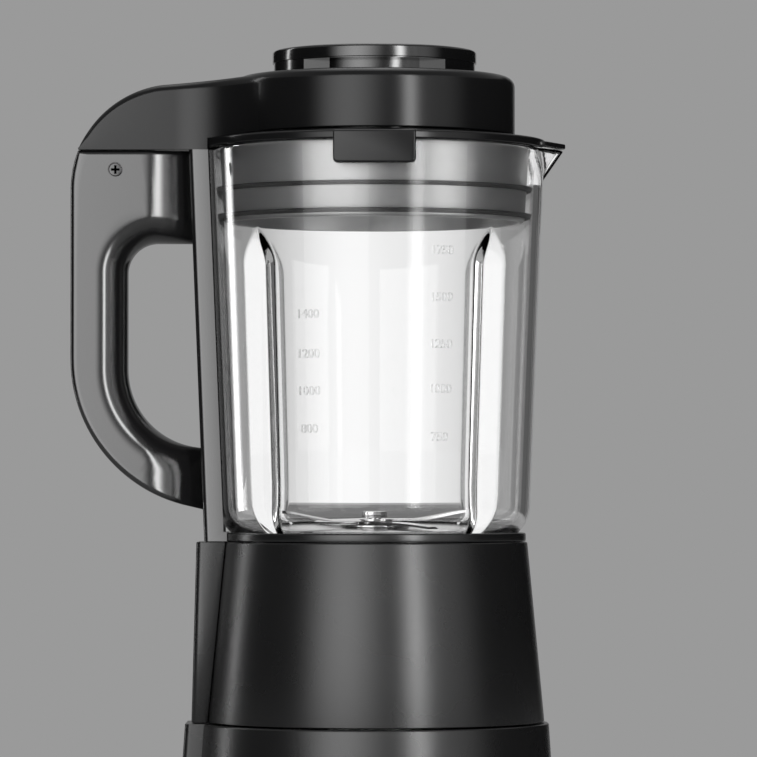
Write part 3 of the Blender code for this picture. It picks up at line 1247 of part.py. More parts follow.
def blade_wing(name, height, rise, side):
    """One swept wing of a blade: a plate that bends and thins to its leading edge."""
    rings = []
    stations = 6
    for step in range(stations + 1):
        share = step / stations
        x = side * (BLADE_HUB_RADIUS * 0.45 + (BLADE_REACH - BLADE_HUB_RADIUS * 0.45) * share)
        width = BLADE_ROOT_WIDTH + (BLADE_TIP_WIDTH - BLADE_ROOT_WIDTH) * share
        bent = max(0.0, (share - BLADE_BEND_SHARE) / (1 - BLADE_BEND_SHARE))
        lift = rise * bent
        back = -side * BLADE_SWEEP * share ** 2
        lead, trail = back + side * width / 2, back - side * width / 2
        bevel = lead - side * width * 0.35
        thin = min(BLADE_EDGE, BLADE_THICKNESS)
        low = height + lift + BLADE_THICKNESS * 0.1 * (1 if step == 0 else 0)
        rings.append([(x, lead, low), (x, lead, low + thin), (x, bevel, low + BLADE_THICKNESS),
                      (x, trail, low + BLADE_THICKNESS), (x, trail, low)])
    return lofted(name, rings)


def build_blade(name, height, rise, turn):
    """A two-winged blade with its hub and bore."""
    hub_low, hub_high = height - FIT_GAP * 0.2, height + BLADE_THICKNESS + FIT_GAP * 0.3
    blade = rod(name, BLADE_HUB_RADIUS, (0, 0, hub_low), (0, 0, hub_high), SMALL_FACETS)
    join(blade, blade_wing("wing", height, rise, 1), blade_wing("wing", height, rise, -1))
    cut(blade, rod("bore", SPINDLE_RADIUS + FIT_GAP, (0, 0, height - CUT_OVERRUN * 3),
                   (0, 0, height + CUT_OVERRUN * 3), SMALL_FACETS))
    return steel(turn_about(blade, turn))


def build_blades():
    """Blade shaft, two crossed blades, their nut and the coupling under the jug."""
    _, lower, upper, nut_low = blade_levels()
    foot = plate_levels()[1] - HOUSING_DROP
    socket_floor = WELL_FLOOR - HOUSING_WALL + SOCKET_FLOOR
    socket_top = socket_floor + SOCKET_DEPTH
    coupling_low = socket_floor + RUNNING_GAP * 2
    plate_low = socket_top + RUNNING_GAP
    plate_top = plate_low + COUPLING_PLATE_THICKNESS
    assert plate_top < foot
    shoulder = lower - RUNNING_GAP
    nut_top = nut_low + BLADE_NUT_HEIGHT
    shaft_low = coupling_low + SOCKET_DEPTH / 2
    shaft = turned("blade_shaft", [
        (0, shaft_low), (SHAFT_RADIUS, shaft_low), (SHAFT_RADIUS, shoulder), (SPINDLE_RADIUS, shoulder),
        (SPINDLE_RADIUS, nut_top - FIT_GAP), (0, nut_top - FIT_GAP)], SMALL_FACETS)
    nut = slab("blade_nut", hexagon(BLADE_NUT_RADIUS), nut_low + FIT_GAP, nut_top)
    cut(nut, rod("bore", SPINDLE_RADIUS + FIT_GAP, (0, 0, nut_low - CUT_OVERRUN),
                 (0, 0, nut_top + CUT_OVERRUN)))
    coupling = slab("jug_coupling", lobed(LOBE_RADIUS, LOBE_HEIGHT, LOBE_COUNT, LOBE_POINTS),
                    coupling_low, plate_low + COUPLING_PLATE_THICKNESS / 2)
    join(coupling, rod("plate", COUPLING_PLATE_RADIUS, (0, 0, plate_low), (0, 0, plate_top), MEDIUM_FACETS))
    cut(coupling, rod("bore", SHAFT_RADIUS + FIT_GAP, (0, 0, shaft_low - FIT_GAP),
                      (0, 0, plate_top + CUT_OVERRUN)))
    quarter = math.pi / 4
    return [steel(shaft), steel(nut), steel(coupling),
            build_blade("lower_blade", lower, -LOWER_BLADE_DROP, quarter * 3),
            build_blade("upper_blade", upper, UPPER_BLADE_LIFT, quarter * 0.55)]


# Handle

def column_edge(height, stand=COLUMN_STAND):
    """X of the column's outer face at a height."""
    return -(glass_radius(height) + stand)


def build_column():
    """Upright column on the jug's left side, hollow for the interlock rod."""
    low, high = COLLAR_FLOOR, GLASS_RIM - COLUMN_TOP_DROP
    rings = []
    for height in (low, high):
        outline = rounded_box((column_edge(height), -COLUMN_HALF_WIDTH),
                              (-GLASS_FOOT_RADIUS / 2, COLUMN_HALF_WIDTH), COLUMN_EDGE)
        rings.append([(x, y, height) for x, y in outline])
    column = lofted("handle_column", rings)
    cut(column, glass_clearance_cone("clearance", FIT_GAP))
    over = CUT_OVERRUN * 2
    channel = rod("channel", ROD_CHANNEL_RADIUS, rod_point(low - over), rod_point(high + over), TINY_FACETS)
    cut(column, channel)
    bar = rod("interlock_rod", ROD_RADIUS, rod_point(low), rod_point(high + FIT_GAP), TINY_FACETS)
    return [black_plastic(column)], [steel(bar)]


def rod_point(height):
    """A point on the interlock rod's leaning axis."""
    return (-(glass_radius(height) + ROD_STAND), 0.0, height)


def handle_stations():
    """Pairs of outer and inner points along the handle, from the column's top to its foot."""
    stand = COLUMN_STAND + FIT_GAP
    top = GLASS_RIM - HANDLE_TOP_DROP
    opening_top = GLASS_RIM - HANDLE_OPENING_DROP
    grip_x = -HANDLE_REACH
    grip_top, grip_low = GLASS_RIM - HANDLE_GRIP_TOP, GLASS_RIM - HANDLE_GRIP_TOP - HANDLE_GRIP_LENGTH
    arc_centre = (grip_x + TONGUE_ARC_RADIUS, grip_top)
    corner_angle = math.pi - math.asin((top - grip_top) / TONGUE_ARC_RADIUS)
    corner = (arc_centre[0] + TONGUE_ARC_RADIUS * math.cos(corner_angle), top)
    heel = (grip_x + HANDLE_HEEL_RADIUS, grip_low)
    inner_x = grip_x + HANDLE_GRIP_THICKNESS
    inner_heel = (inner_x + HANDLE_INNER_HEEL_RADIUS, grip_low - HANDLE_INNER_ROUNDING / 3)
    inner_arc = (inner_x + HANDLE_TOP_ROUNDING, opening_top - HANDLE_TOP_ROUNDING)
    shoulder = (inner_arc[0] - HANDLE_TOP_ROUNDING / 2, top)
    outer = between((column_edge(top, stand), top), shoulder, 3, False)
    inner = between((column_edge(opening_top, stand), opening_top), (inner_arc[0], opening_top), 3, False)
    outer += between(shoulder, corner, 2, False)
    outer += arc(arc_centre, TONGUE_ARC_RADIUS, corner_angle, math.pi, 3)
    inner += arc(inner_arc, HANDLE_TOP_ROUNDING, math.pi / 2, math.pi, 5)
    outer += between((grip_x, grip_top), (grip_x, grip_low), 2, False)[1:]
    inner += between((inner_x, inner_arc[1]), (inner_x, inner_heel[1]), 2, False)[1:]
    outer += arc(heel, HANDLE_HEEL_RADIUS, math.pi, math.pi + HANDLE_LEAN_END, 7)
    inner += arc(inner_heel, HANDLE_INNER_HEEL_RADIUS, math.pi, math.pi + HANDLE_LEAN_END, 7)
    outer[-1] = on_column(outer[-2], outer[-1], stand)
    inner[-1] = on_column(inner[-2], inner[-1], stand)
    return list(zip(outer, inner))


def on_column(before, point, stand):
    """Slide a point along the line from the one before it until it meets the column."""
    for _ in range(8):
        run = point[0] - before[0]
        share = (column_edge(point[1], stand) - before[0]) / run
        point = (before[0] + run * share, before[1] + (point[1] - before[1]) * share)
    return point


def handle_depth(x):
    """Half depth of the handle at an X, which rolls away where the arms meet the column."""
    start = column_edge(GLASS_RIM) - HANDLE_SCOOP_WIDTH
    past = min(max(0.0, x - start), HANDLE_SCOOP_WIDTH)
    return HANDLE_HALF_DEPTH - HANDLE_SCOOP_RADIUS + math.sqrt(HANDLE_SCOOP_RADIUS ** 2 - past ** 2)


def handle_section(outer, inner, side):
    """Section of one half shell: flat face, fully rounded inner edge and a hollow behind.

    Each point is (distance from the inner line, share of the depth, inset from the face).
    """
    away = Vector(outer) - Vector(inner)
    length = away.length
    away.normalize()
    wall, split = HANDLE_SHELL_WALL, FIT_GAP / 2
    swell = min(HANDLE_INNER_ROUNDING, length * 0.6)
    points = [(length, 0.0, 0.0), (length, 1.0, HANDLE_EDGE), (length - HANDLE_EDGE, 1.0, 0.0)]
    quarter = math.pi / 2
    for step in range(4):
        angle = quarter * (1 - step / 3)
        points.append((swell - swell * math.cos(angle), math.sin(angle), 0.0))
    for step in range(3):
        angle = quarter * step / 2
        points.append((swell - (swell - wall) * math.cos(angle), math.sin(angle), wall))
    points += [(length - wall, 1.0, wall), (length - wall, 0.0, wall)]
    section = []
    for reach, share, inset in points:
        x = inner[0] + away.x * reach
        depth = split + (handle_depth(x) - inset - split) * share
        section.append((x, side * depth, inner[1] + away.y * reach))
    return section


def build_handle():
    """Front and rear half shells of the handle, joined by a screw through their bosses."""
    stations = handle_stations()
    x = -HANDLE_REACH + SCREW_INSET
    z = GLASS_RIM - SCREW_DROP
    shells = []
    for name, side in (("handle_front_shell", -1), ("handle_rear_shell", 1)):
        shell = lofted(name, [handle_section(outer, inner, side) for outer, inner in stations])
        join(shell, rod("boss", SCREW_BOSS_RADIUS, (x, side * FIT_GAP / 2, z),
                        (x, side * (HANDLE_HALF_DEPTH - HANDLE_SHELL_WALL / 2), z), TINY_FACETS))
        shells.append(shell)
    front = -HANDLE_HALF_DEPTH
    seat = front + SCREW_HEAD_HEIGHT + FIT_GAP
    tip = HANDLE_HALF_DEPTH - HANDLE_SHELL_WALL
    hole = SCREW_SHANK_RADIUS + FIT_GAP
    cut(shells[0], rod("hole", hole, (x, front - CUT_OVERRUN, z), (x, CUT_OVERRUN, z), TINY_FACETS))
    cut(shells[0], rod("seat", SCREW_HEAD_RADIUS + FIT_GAP, (x, front - CUT_OVERRUN, z), (x, seat, z)))
    cut(shells[1], rod("hole", hole, (x, -CUT_OVERRUN, z), (x, tip, z), TINY_FACETS))
    screw = rod("handle_screw", SCREW_HEAD_RADIUS, (x, front + FIT_GAP, z), (x, seat - FIT_GAP, z))
    join(screw, rod("shank", SCREW_SHANK_RADIUS, (x, seat - SCREW_HEAD_HEIGHT / 2, z),
                    (x, tip - FIT_GAP, z), TINY_FACETS))
    arm, reach = SCREW_CROSS_WIDTH / 2, SCREW_HEAD_RADIUS * 0.6
    deep = front + FIT_GAP + SCREW_CROSS_DEPTH
    cut(screw, block("slot", (x - reach, front - CUT_OVERRUN, z - arm), (x + reach, deep, z + arm)))
    cut(screw, block("slot", (x - arm, front - CUT_OVERRUN, z - reach), (x + arm, deep, z + reach)))
    return [black_plastic(shells[0]), black_plastic(shells[1]), steel(screw)]


# Lid

def build_lid_rim():
    """Rim that covers the glass edge, with the front tab, the spout cover and the tongue's sole."""
    outer = GLASS_RIM_RADIUS + RIM_OVERHANG
    edge = RIM_THICKNESS * 0.12
    rim = turned("lid_rim", [
        (RIM_INNER_RADIUS, RIM_FLOOR), (outer, RIM_FLOOR), (outer, RIM_TOP - edge),
        (outer - edge, RIM_TOP), (LID_RADIUS, RIM_TOP + RIM_CONE_HEIGHT),
        (RIM_INNER_RADIUS, RIM_TOP + RIM_CONE_HEIGHT)], LARGE_FACETS)
    spout_tip = GLASS_RIM_RADIUS + SPOUT_REACH + RIM_OVERHANG
    spread = GLASS_RIM_RADIUS * math.sin(SPOUT_HALF_SWEEP)
    beside = spout_tip - SPOUT_REACH * 0.25
    spout = [(LID_RADIUS, -spread), (GLASS_RIM_RADIUS, -spread), (beside, -spread * 0.3), (spout_tip, 0.0),
             (beside, spread * 0.3), (GLASS_RIM_RADIUS, spread), (LID_RADIUS, spread)]
    join(rim, slab("spout_cover", spout, RIM_FLOOR + FIT_GAP, RIM_FLOOR + SPOUT_COVER_THICKNESS))
    sole_reach = GLASS_RIM_RADIUS + RIM_TONGUE_REACH
    half = TONGUE_HALF_WIDTH - TONGUE_SKIRT
    sole = rounded_box((-sole_reach, -half), (-LID_RADIUS, half), TONGUE_EDGE, 2)
    join(rim, slab("sole", sole, RIM_FLOOR + FIT_GAP / 2, RIM_TOP - FIT_GAP))
    tab_top = RIM_TOP - FIT_GAP
    tab_outline = rounded_box((-TAB_HALF_WIDTH, tab_top - TAB_HEIGHT), (TAB_HALF_WIDTH, tab_top),
                              TAB_CORNER, 2)
    tab = slab("tab", tab_outline, -outer - TAB_PROUD, -LID_RADIUS, "XZ")
    low = tab_top - TAB_HEIGHT - CUT_OVERRUN
    relief = turned("relief", [(0, low), (outer - FIT_GAP, low), (outer - FIT_GAP, RIM_FLOOR + FIT_GAP / 2),
                               (0, RIM_FLOOR + FIT_GAP / 2)], LARGE_FACETS * 2)
    cut(tab, relief)
    join(rim, tab)
    return [black_plastic(rim)]


def tongue_top(x):
    """Height of the tongue's top line at an X."""
    centre_x = -HANDLE_REACH + TONGUE_ARC_RADIUS
    centre_z = GLASS_RIM - HANDLE_GRIP_TOP
    line_from = centre_x - TONGUE_ARC_RADIUS * TONGUE_ARC_SHARE
    if x < line_from:
        return centre_z + math.sqrt(max(TONGUE_ARC_RADIUS ** 2 - (x - centre_x) ** 2, 0.0))
    start = centre_z + TONGUE_ARC_RADIUS * math.sqrt(1 - TONGUE_ARC_SHARE ** 2)
    share = (x - line_from) / (-CAP_RADIUS - CAP_RIM_WIDTH - line_from)
    return start + (LID_DECK - TONGUE_DROP - start) * share


def build_lid_shell():
    """Lid shell with its feed opening and the tongue that reaches over the handle."""
    deck_inner = LID_DECK + LID_CROWN
    corner = arc((LID_RADIUS - LID_ROUNDING, LID_DECK - LID_ROUNDING), LID_ROUNDING, 0.0, math.pi / 2, 4)
    inner_corner = (LID_RADIUS - LID_WALL, LID_DECK - LID_ROUNDING)
    tube_low = LID_DECK - FEED_LENGTH
    outline = [(LID_RADIUS, LID_FLOOR)] + corner + [
        (FEED_RADIUS, deck_inner), (FEED_RADIUS, tube_low), (FEED_RADIUS + FEED_WALL, tube_low),
        (FEED_RADIUS + FEED_WALL, LID_DECK - LID_WALL), (LID_RADIUS - LID_ROUNDING, LID_DECK - LID_WALL),
        inner_corner, (LID_RADIUS - LID_WALL, LID_FLOOR)]
    shell = turned("lid_shell", outline, LARGE_FACETS)
    low = GLASS_RIM - HANDLE_TOP_DROP + RUNNING_GAP
    centre_x = -HANDLE_REACH + TONGUE_ARC_RADIUS
    centre_z = GLASS_RIM - HANDLE_GRIP_TOP
    tip = centre_x - math.sqrt(TONGUE_ARC_RADIUS ** 2 - (low - centre_z) ** 2)
    seat = -CAP_RADIUS - CAP_RIM_WIDTH
    rings = []
    for share in TONGUE_STATION_SHARES:
        x = tip + (seat - tip) * share
        top = max(tongue_top(x), low + TONGUE_EDGE * 0.2)
        edge = min(TONGUE_EDGE, (top - low) * 0.45)
        rings.append([(x, y, z) for y, z in tongue_section(tongue_flank(x), low, top, edge)])
    tongue = flattened(lofted("tongue", rings))
    sole_reach = GLASS_RIM_RADIUS + RIM_TONGUE_REACH + FIT_GAP
    half = TONGUE_HALF_WIDTH - TONGUE_SKIRT + FIT_GAP
    cut(tongue, block("sole_room", (-sole_reach, -half, low - CUT_OVERRUN), (0, half, RIM_TOP)))
    rim_outer = GLASS_RIM_RADIUS + RIM_OVERHANG + FIT_GAP
    cut(tongue, turned("rim_room", [
        (0, low - CUT_OVERRUN), (rim_outer, low - CUT_OVERRUN), (rim_outer, RIM_TOP + FIT_GAP),
        (LID_RADIUS, LID_FLOOR + FIT_GAP / 2), (0, LID_FLOOR + FIT_GAP / 2)],
        LARGE_FACETS * 2))
    inside = LID_RADIUS - LID_WALL / 2
    under_deck = LID_DECK - LID_WALL / 2
    cut(tongue, turned("inside", [(0, low), (inside, low), (inside, LID_DECK - LID_ROUNDING),
                                  (LID_RADIUS - LID_ROUNDING, under_deck), (0, under_deck)], LARGE_FACETS))
    join(shell, tongue)
    return [black_plastic(shell)]


def tongue_flank(x):
    """Half width of the tongue at an X, where a concave blend leads into the round lid."""
    blend = TONGUE_BLEND_RADIUS
    far = math.sqrt((LID_RADIUS + blend) ** 2 - (TONGUE_HALF_WIDTH + blend) ** 2)
    if x <= -far:
        return TONGUE_HALF_WIDTH
    if x < -far * LID_RADIUS / (LID_RADIUS + blend):
        return TONGUE_HALF_WIDTH + blend - math.sqrt(blend ** 2 - (x + far) ** 2)
    return max(TONGUE_HALF_WIDTH, math.sqrt(LID_RADIUS ** 2 - x ** 2) - LID_WALL / 2)


def tongue_section(half, low, top, edge):
    """Section of the tongue: flat underneath, with upright sides and rounded upper edges."""
    quarter = math.pi / 2
    right = arc((half - edge, top - edge), edge, 0.0, quarter, 3)
    left = arc((-half + edge, top - edge), edge, quarter, 2 * quarter, 3)
    return [(half, low)] + right + left + [(-half, low)]


def plug_radius(height):
    """Outer radius of the lid plug at a height."""
    share = (RIM_FLOOR - FIT_GAP - height) / PLUG_HEIGHT
    return PLUG_TOP_RADIUS + (PLUG_FOOT_RADIUS - PLUG_TOP_RADIUS) * share


def build_lid_plug():
    """Hollow plug that drops into the jug, and the two seal rings round it."""
    top = RIM_FLOOR - FIT_GAP
    low = top - PLUG_HEIGHT
    tube = FEED_RADIUS + FEED_WALL + PLUG_TUBE_GAP
    tube_low = top - PLUG_TUBE_LENGTH
    roof = top - PLUG_ROOF
    plug = turned("lid_plug", [
        (tube, tube_low), (tube, top), (plug_radius(top), top),
        (plug_radius(low + PLUG_WALL), low + PLUG_WALL),
        (PLUG_FOOT_RADIUS - PLUG_WALL / 2, low), (PLUG_FOOT_RADIUS - PLUG_WALL, low),
        (plug_radius(roof) - PLUG_WALL, roof), (tube + PLUG_WALL, roof), (tube + PLUG_WALL, tube_low)],
        LARGE_FACETS)
    rings = []
    for name, share in zip(("lid_seal_upper", "lid_seal_lower"), SEAL_RING_SHARES):
        height = GLASS_RIM - PLUG_HEIGHT * share
        inner = plug_radius(height + SEAL_RING_HEIGHT / 2) + FIT_GAP
        outer = glass_radius(height) - GLASS_WALL - SEAL_RING_CLEARANCE
        low, high = height - SEAL_RING_HEIGHT / 2, height + SEAL_RING_HEIGHT / 2
        outline = [(inner, low), (outer - SEAL_LIP, low), (outer, high), (inner, high)]
        rings.append(rubber(turned(name, outline, LARGE_FACETS)))
    return [dress(plug, STEEL, 0.3)] + rings


def build_cap():
    """Filler cap: dished top with finger recesses front and back, its cup and gasket."""
    neck = CAP_RADIUS - CAP_NECK_INSET
    cup_low = CAP_FLOOR - CAP_CUP_LENGTH
    cup_inner = CAP_CUP_RADIUS - CAP_CUP_WALL
    rim_inner = CAP_RADIUS - CAP_RIM_WIDTH
    cap = turned("filler_cap", [
        (0, CAP_TOP - CAP_DISH), (rim_inner, CAP_TOP - CAP_DISH), (rim_inner + CAP_DISH, CAP_TOP),
        (CAP_RADIUS - CAP_ROUNDING, CAP_TOP), (CAP_RADIUS, CAP_TOP - CAP_ROUNDING),
        (CAP_RADIUS, CAP_SHOULDER), (neck, CAP_SHOULDER), (neck, CAP_FLOOR), (CAP_CUP_RADIUS, CAP_FLOOR),
        (CAP_CUP_RADIUS, cup_low), (cup_inner, cup_low), (cup_inner, CAP_SHOULDER - CAP_CUP_WALL),
        (0, CAP_SHOULDER - CAP_CUP_WALL)], LARGE_FACETS)
    depth = math.sqrt(neck ** 2 - FINGER_HALF_WIDTH ** 2)
    for side in (-1, 1):
        near, far = sorted((side * depth, side * (CAP_RADIUS + CUT_OVERRUN)))
        well = block("finger_recess", (-FINGER_HALF_WIDTH, near, CAP_FLOOR - CUT_OVERRUN / 4),
                     (FINGER_HALF_WIDTH, far, CAP_SHOULDER - FIT_GAP))
        cut(cap, trimmed_to_ring(well, CAP_CUP_RADIUS + FIT_GAP))
    gasket_top = LID_DECK - GASKET_DROP
    inner, outer = CAP_CUP_RADIUS + FIT_GAP, FEED_RADIUS - FIT_GAP
    gasket = turned("cap_gasket", [
        (inner, gasket_top - GASKET_HEIGHT), (outer - SEAL_LIP, gasket_top - GASKET_HEIGHT),
        (outer, gasket_top), (inner, gasket_top)], LARGE_FACETS)
    return [black_plastic(cap), rubber(gasket)]


def trimmed_to_ring(tool, radius):
    """Take the middle out of a cutting tool, so that it stays outside a radius."""
    middle = rod("middle", radius, (0, 0, CAP_FLOOR - CUT_OVERRUN * 2), (0, 0, CAP_TOP), MEDIUM_FACETS)
    return cut(tool, middle)


# Assembly

def carry(name, place, pieces, parent=None):
    """Parent pieces to an empty on their joint's axis, keeping them where they are."""
    pivot = bpy.data.objects.new(name, None)
    bpy.context.scene.collection.objects.link(pivot)
    pivot.location = place
    if parent:
        pivot.parent = parent
        pivot.matrix_parent_inverse = parent.matrix_world.inverted()
    bpy.context.view_layer.update()
    for piece in pieces:
        piece.parent = pivot
        piece.matrix_parent_inverse = pivot.matrix_world.inverted()
    return pivot


def main():
    """Clear the scene and build every piece."""
    for obj in list(bpy.data.objects):
        bpy.data.objects.remove(obj)
    socket, plug = build_connectors()
    column, bar = build_column()
    rotor, bearings = build_rotor()
    panel = build_control_panel()
    buttons = [piece for piece in panel if piece.name.startswith("button")]
    knob = [piece for piece in panel if piece.name == "speed_knob"]
    fixed_panel = [piece for piece in panel if piece not in buttons + knob]
    base = carry("base_axis", (0, 0, 0), build_feet() + build_bottom_cover() + build_lower_housing()
                 + build_upper_housing() + build_base_spine() + build_gland() + build_motor_frame()
                 + build_stator() + build_well_seal() + bearings + socket + fixed_panel)
    carry("motor_axis", (0, 0, SHAFT_FOOT_HEIGHT), rotor, base)
    carry("knob_axis", (0, -lower_radius(KNOB_HEIGHT), KNOB_HEIGHT), knob, base)
    for button, (angle, height) in zip(buttons, button_places()):
        reach = lower_radius(height)
        place = (reach * math.sin(angle), -reach * math.cos(angle), height)
        carry(button.name + "_axis", place, [button], base)
    jug = carry("jug_axis", (0, 0, COLLAR_FLOOR), build_glass() + build_collar() + build_jug_cover()
                + build_heater() + build_blade_housing() + plug + column + build_handle(), base)
    carry("blade_axis", (0, 0, blade_levels()[1]), build_blades(), jug)
    carry("rod_axis", rod_point(COLLAR_FLOOR), bar, jug)
    lid = carry("lid_axis", (0, 0, RIM_FLOOR), build_lid_rim() + build_lid_shell() + build_lid_plug(), jug)
    carry("cap_axis", (0, 0, CAP_FLOOR), build_cap(), lid)


main()
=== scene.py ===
"""Looks of the heated blender: finer shells, finishes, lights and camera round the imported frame.

The row frame is in metres, +Z up. The jug's axis is the Z axis, the handle points to -X, the
pouring spout to +X and the control panel faces -Y, towards the camera.
"""
from __future__ import annotations

import json
import logging
import math
from dataclasses import dataclass, field
from enum import Enum
from typing import Any, Callable, Iterable, Sequence

import bmesh
import bpy
from mathutils import Matrix, Vector

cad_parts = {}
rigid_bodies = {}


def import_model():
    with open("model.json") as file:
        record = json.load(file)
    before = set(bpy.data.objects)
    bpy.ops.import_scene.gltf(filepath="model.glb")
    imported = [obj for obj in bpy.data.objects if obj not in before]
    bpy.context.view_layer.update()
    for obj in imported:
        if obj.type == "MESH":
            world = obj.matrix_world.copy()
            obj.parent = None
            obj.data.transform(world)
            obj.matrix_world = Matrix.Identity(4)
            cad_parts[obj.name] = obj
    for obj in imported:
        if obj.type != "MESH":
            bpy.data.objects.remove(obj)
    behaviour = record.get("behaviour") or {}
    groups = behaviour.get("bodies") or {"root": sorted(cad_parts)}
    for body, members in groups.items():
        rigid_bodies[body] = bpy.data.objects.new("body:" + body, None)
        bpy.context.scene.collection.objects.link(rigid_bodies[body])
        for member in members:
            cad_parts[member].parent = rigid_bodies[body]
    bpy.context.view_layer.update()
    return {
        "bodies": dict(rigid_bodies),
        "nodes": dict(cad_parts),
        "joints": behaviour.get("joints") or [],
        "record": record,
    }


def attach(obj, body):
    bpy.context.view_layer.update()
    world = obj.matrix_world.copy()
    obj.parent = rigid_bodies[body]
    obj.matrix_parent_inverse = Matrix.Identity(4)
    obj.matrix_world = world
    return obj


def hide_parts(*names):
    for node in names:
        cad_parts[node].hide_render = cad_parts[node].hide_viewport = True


Point = tuple[float, float]
Corner = tuple[float, float, float]
Colour = tuple[float, float, float]
Piece = bpy.types.Object
Socket = bpy.types.NodeSocket

TURN = 2 * math.pi
QUARTER = math.pi / 2
WELD = 0.000001
STRAIGHT = 0.01
SMOOTH_ANGLE = math.radians(30)
STEEP_ANGLE = math.radians(50)
LARGE_FACETS = 160
BASE_FACETS = 192
log = logging.getLogger("heated_blender")


class Body(Enum):
    """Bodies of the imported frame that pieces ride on."""

    BASE = "base"
    JUG = "jug"
    LID = "lid"
    CAP = "cap"
    ROTOR = "rotor"
    BLADES = "blades"
    KNOB = "knob"
    BUTTON_1 = "button_1"
    BUTTON_2 = "button_2"
    BUTTON_3 = "button_3"
    BUTTON_4 = "button_4"


class Slot(Enum):
    """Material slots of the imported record."""

    GLOSS = "gloss_black"
    SATIN = "satin_black"
    GLASS = "clear_glass"
    LENS = "display_smoke"
    STEEL = "stainless_steel"
    ELEMENT = "element_steel"
    PLUG = "plug_grey"
    RUBBER = "black_rubber"
    NYLON = "connector_plastic"
    MOTOR = "motor_steel"
    COPPER = "copper"
    BOARD = "circuit_board"


@dataclass(frozen=True)
class Levels:
    """Heights that the pieces share, from the table up, and the gap left between neighbouring pieces."""

    cover: float = 0.0040
    lower_floor: float = 0.0045
    seam: float = 0.1062
    upper_floor: float = 0.1068
    well_floor: float = 0.1648
    base_top: float = 0.1838
    jug_cover: float = 0.1658
    collar_floor: float = 0.1841
    collar_top: float = 0.1877
    glass_floor: float = 0.1835
    corner: float = 0.1995
    rim: float = 0.3520
    rim_floor: float = 0.3523
    rim_top: float = 0.3559
    lid_floor: float = 0.3580
    deck: float = 0.3832
    cap_floor: float = 0.3841
    cap_shoulder: float = 0.3891
    cap_top: float = 0.3945
    gap: float = 0.0003


LEVELS = Levels()


# Tree wiring

class Wiring:
    """Adds nodes to a tree and joins them."""

    def __init__(self, tree: bpy.types.NodeTree) -> None:
        """Keep the shader or geometry tree to work on."""
        self.tree = tree

    def feed(self, node: bpy.types.Node, inputs: dict[Any, Any]) -> None:
        """Link a node's inputs to sockets, or set their values.

        Args:
            node: the node.
            inputs: an output socket or a plain value for each input, by name or number.
        """
        for key, source in inputs.items():
            if isinstance(source, Socket):
                self.tree.links.new(source, node.inputs[key])
            else:
                node.inputs[key].default_value = source

    def node(self, kind: str, inputs: dict[Any, Any] | None = None, **settings: Any) -> bpy.types.Node:
        """Add a node.

        Args:
            kind: the node's type name.
            inputs: what feeds its inputs.
            settings: properties to set on it first.

        Returns:
            The new node.
        """
        made = self.tree.nodes.new(kind)
        for name, value in settings.items():
            setattr(made, name, value)
        self.feed(made, inputs or {})
        return made

    def sum(self, operation: str, *values: Any) -> Socket:
        """Output of a new Math node with these inputs, sockets or numbers."""
        return self.node("ShaderNodeMath", dict(enumerate(values)), operation=operation).outputs[0]

    def vector(self, x: Any, y: Any, z: Any) -> Socket:
        """Join three values into a vector."""
        return self.node("ShaderNodeCombineXYZ", {0: x, 1: y, 2: z}).outputs[0]

    def parts(self, vector: Socket) -> Sequence[Socket]:
        """Split a vector into its three values."""
        return self.node("ShaderNodeSeparateXYZ", {0: vector}).outputs

    def smooth(self, value: Socket, first: float, last: float, start: float, stop: float) -> Socket:
        """Ramp smoothly from one value to another.

        Args:
            value: what it follows.
            first: where the ramp starts.
            last: where it ends.
            start: result up to its start.
            stop: result from its end on.

        Returns:
            The ramp's output.
        """
        return self.node("ShaderNodeMapRange", {"Value": value, "From Min": first, "From Max": last, "To Min": start,
                                                "To Max": stop}, interpolation_type="SMOOTHSTEP").outputs[0]


# Geometry trees

def tree_with(name: str, inputs: dict[str, str]) -> tuple[bpy.types.NodeTree, Wiring, Any, bpy.types.Node]:
    """Start a geometry tree with named inputs, a material input and one geometry output.

    Args:
        name: the tree's name.
        inputs: socket type of each further input, by its name.

    Returns:
        The tree, its wiring, the group input's sockets and the group output node.
    """
    tree = bpy.data.node_groups.new(name, "GeometryNodeTree")
    for label, kind in {"Geometry": "Geometry", **inputs, "Finish": "Material"}.items():
        tree.interface.new_socket(label, in_out="INPUT", socket_type=f"NodeSocket{kind}")
    tree.interface.new_socket("Geometry", in_out="OUTPUT", socket_type="NodeSocketGeometry")
    wiring = Wiring(tree)
    return tree, wiring, wiring.node("NodeGroupInput").outputs, wiring.node("NodeGroupOutput")


def close_tree(wiring: Wiring, source: Socket, finish: Socket, output: bpy.types.Node) -> None:
    """End a geometry tree in Realize Instances and Set Material.

    Args:
        wiring: the tree's wiring.
        source: the geometry so far.
        finish: the socket that gives the material.
        output: the group output node.
    """
    real = wiring.node("GeometryNodeRealizeInstances", {"Geometry": source})
    dressed = wiring.node("GeometryNodeSetMaterial", {"Geometry": real.outputs["Geometry"], "Material": finish})
    wiring.feed(output, {"Geometry": dressed.outputs["Geometry"]})


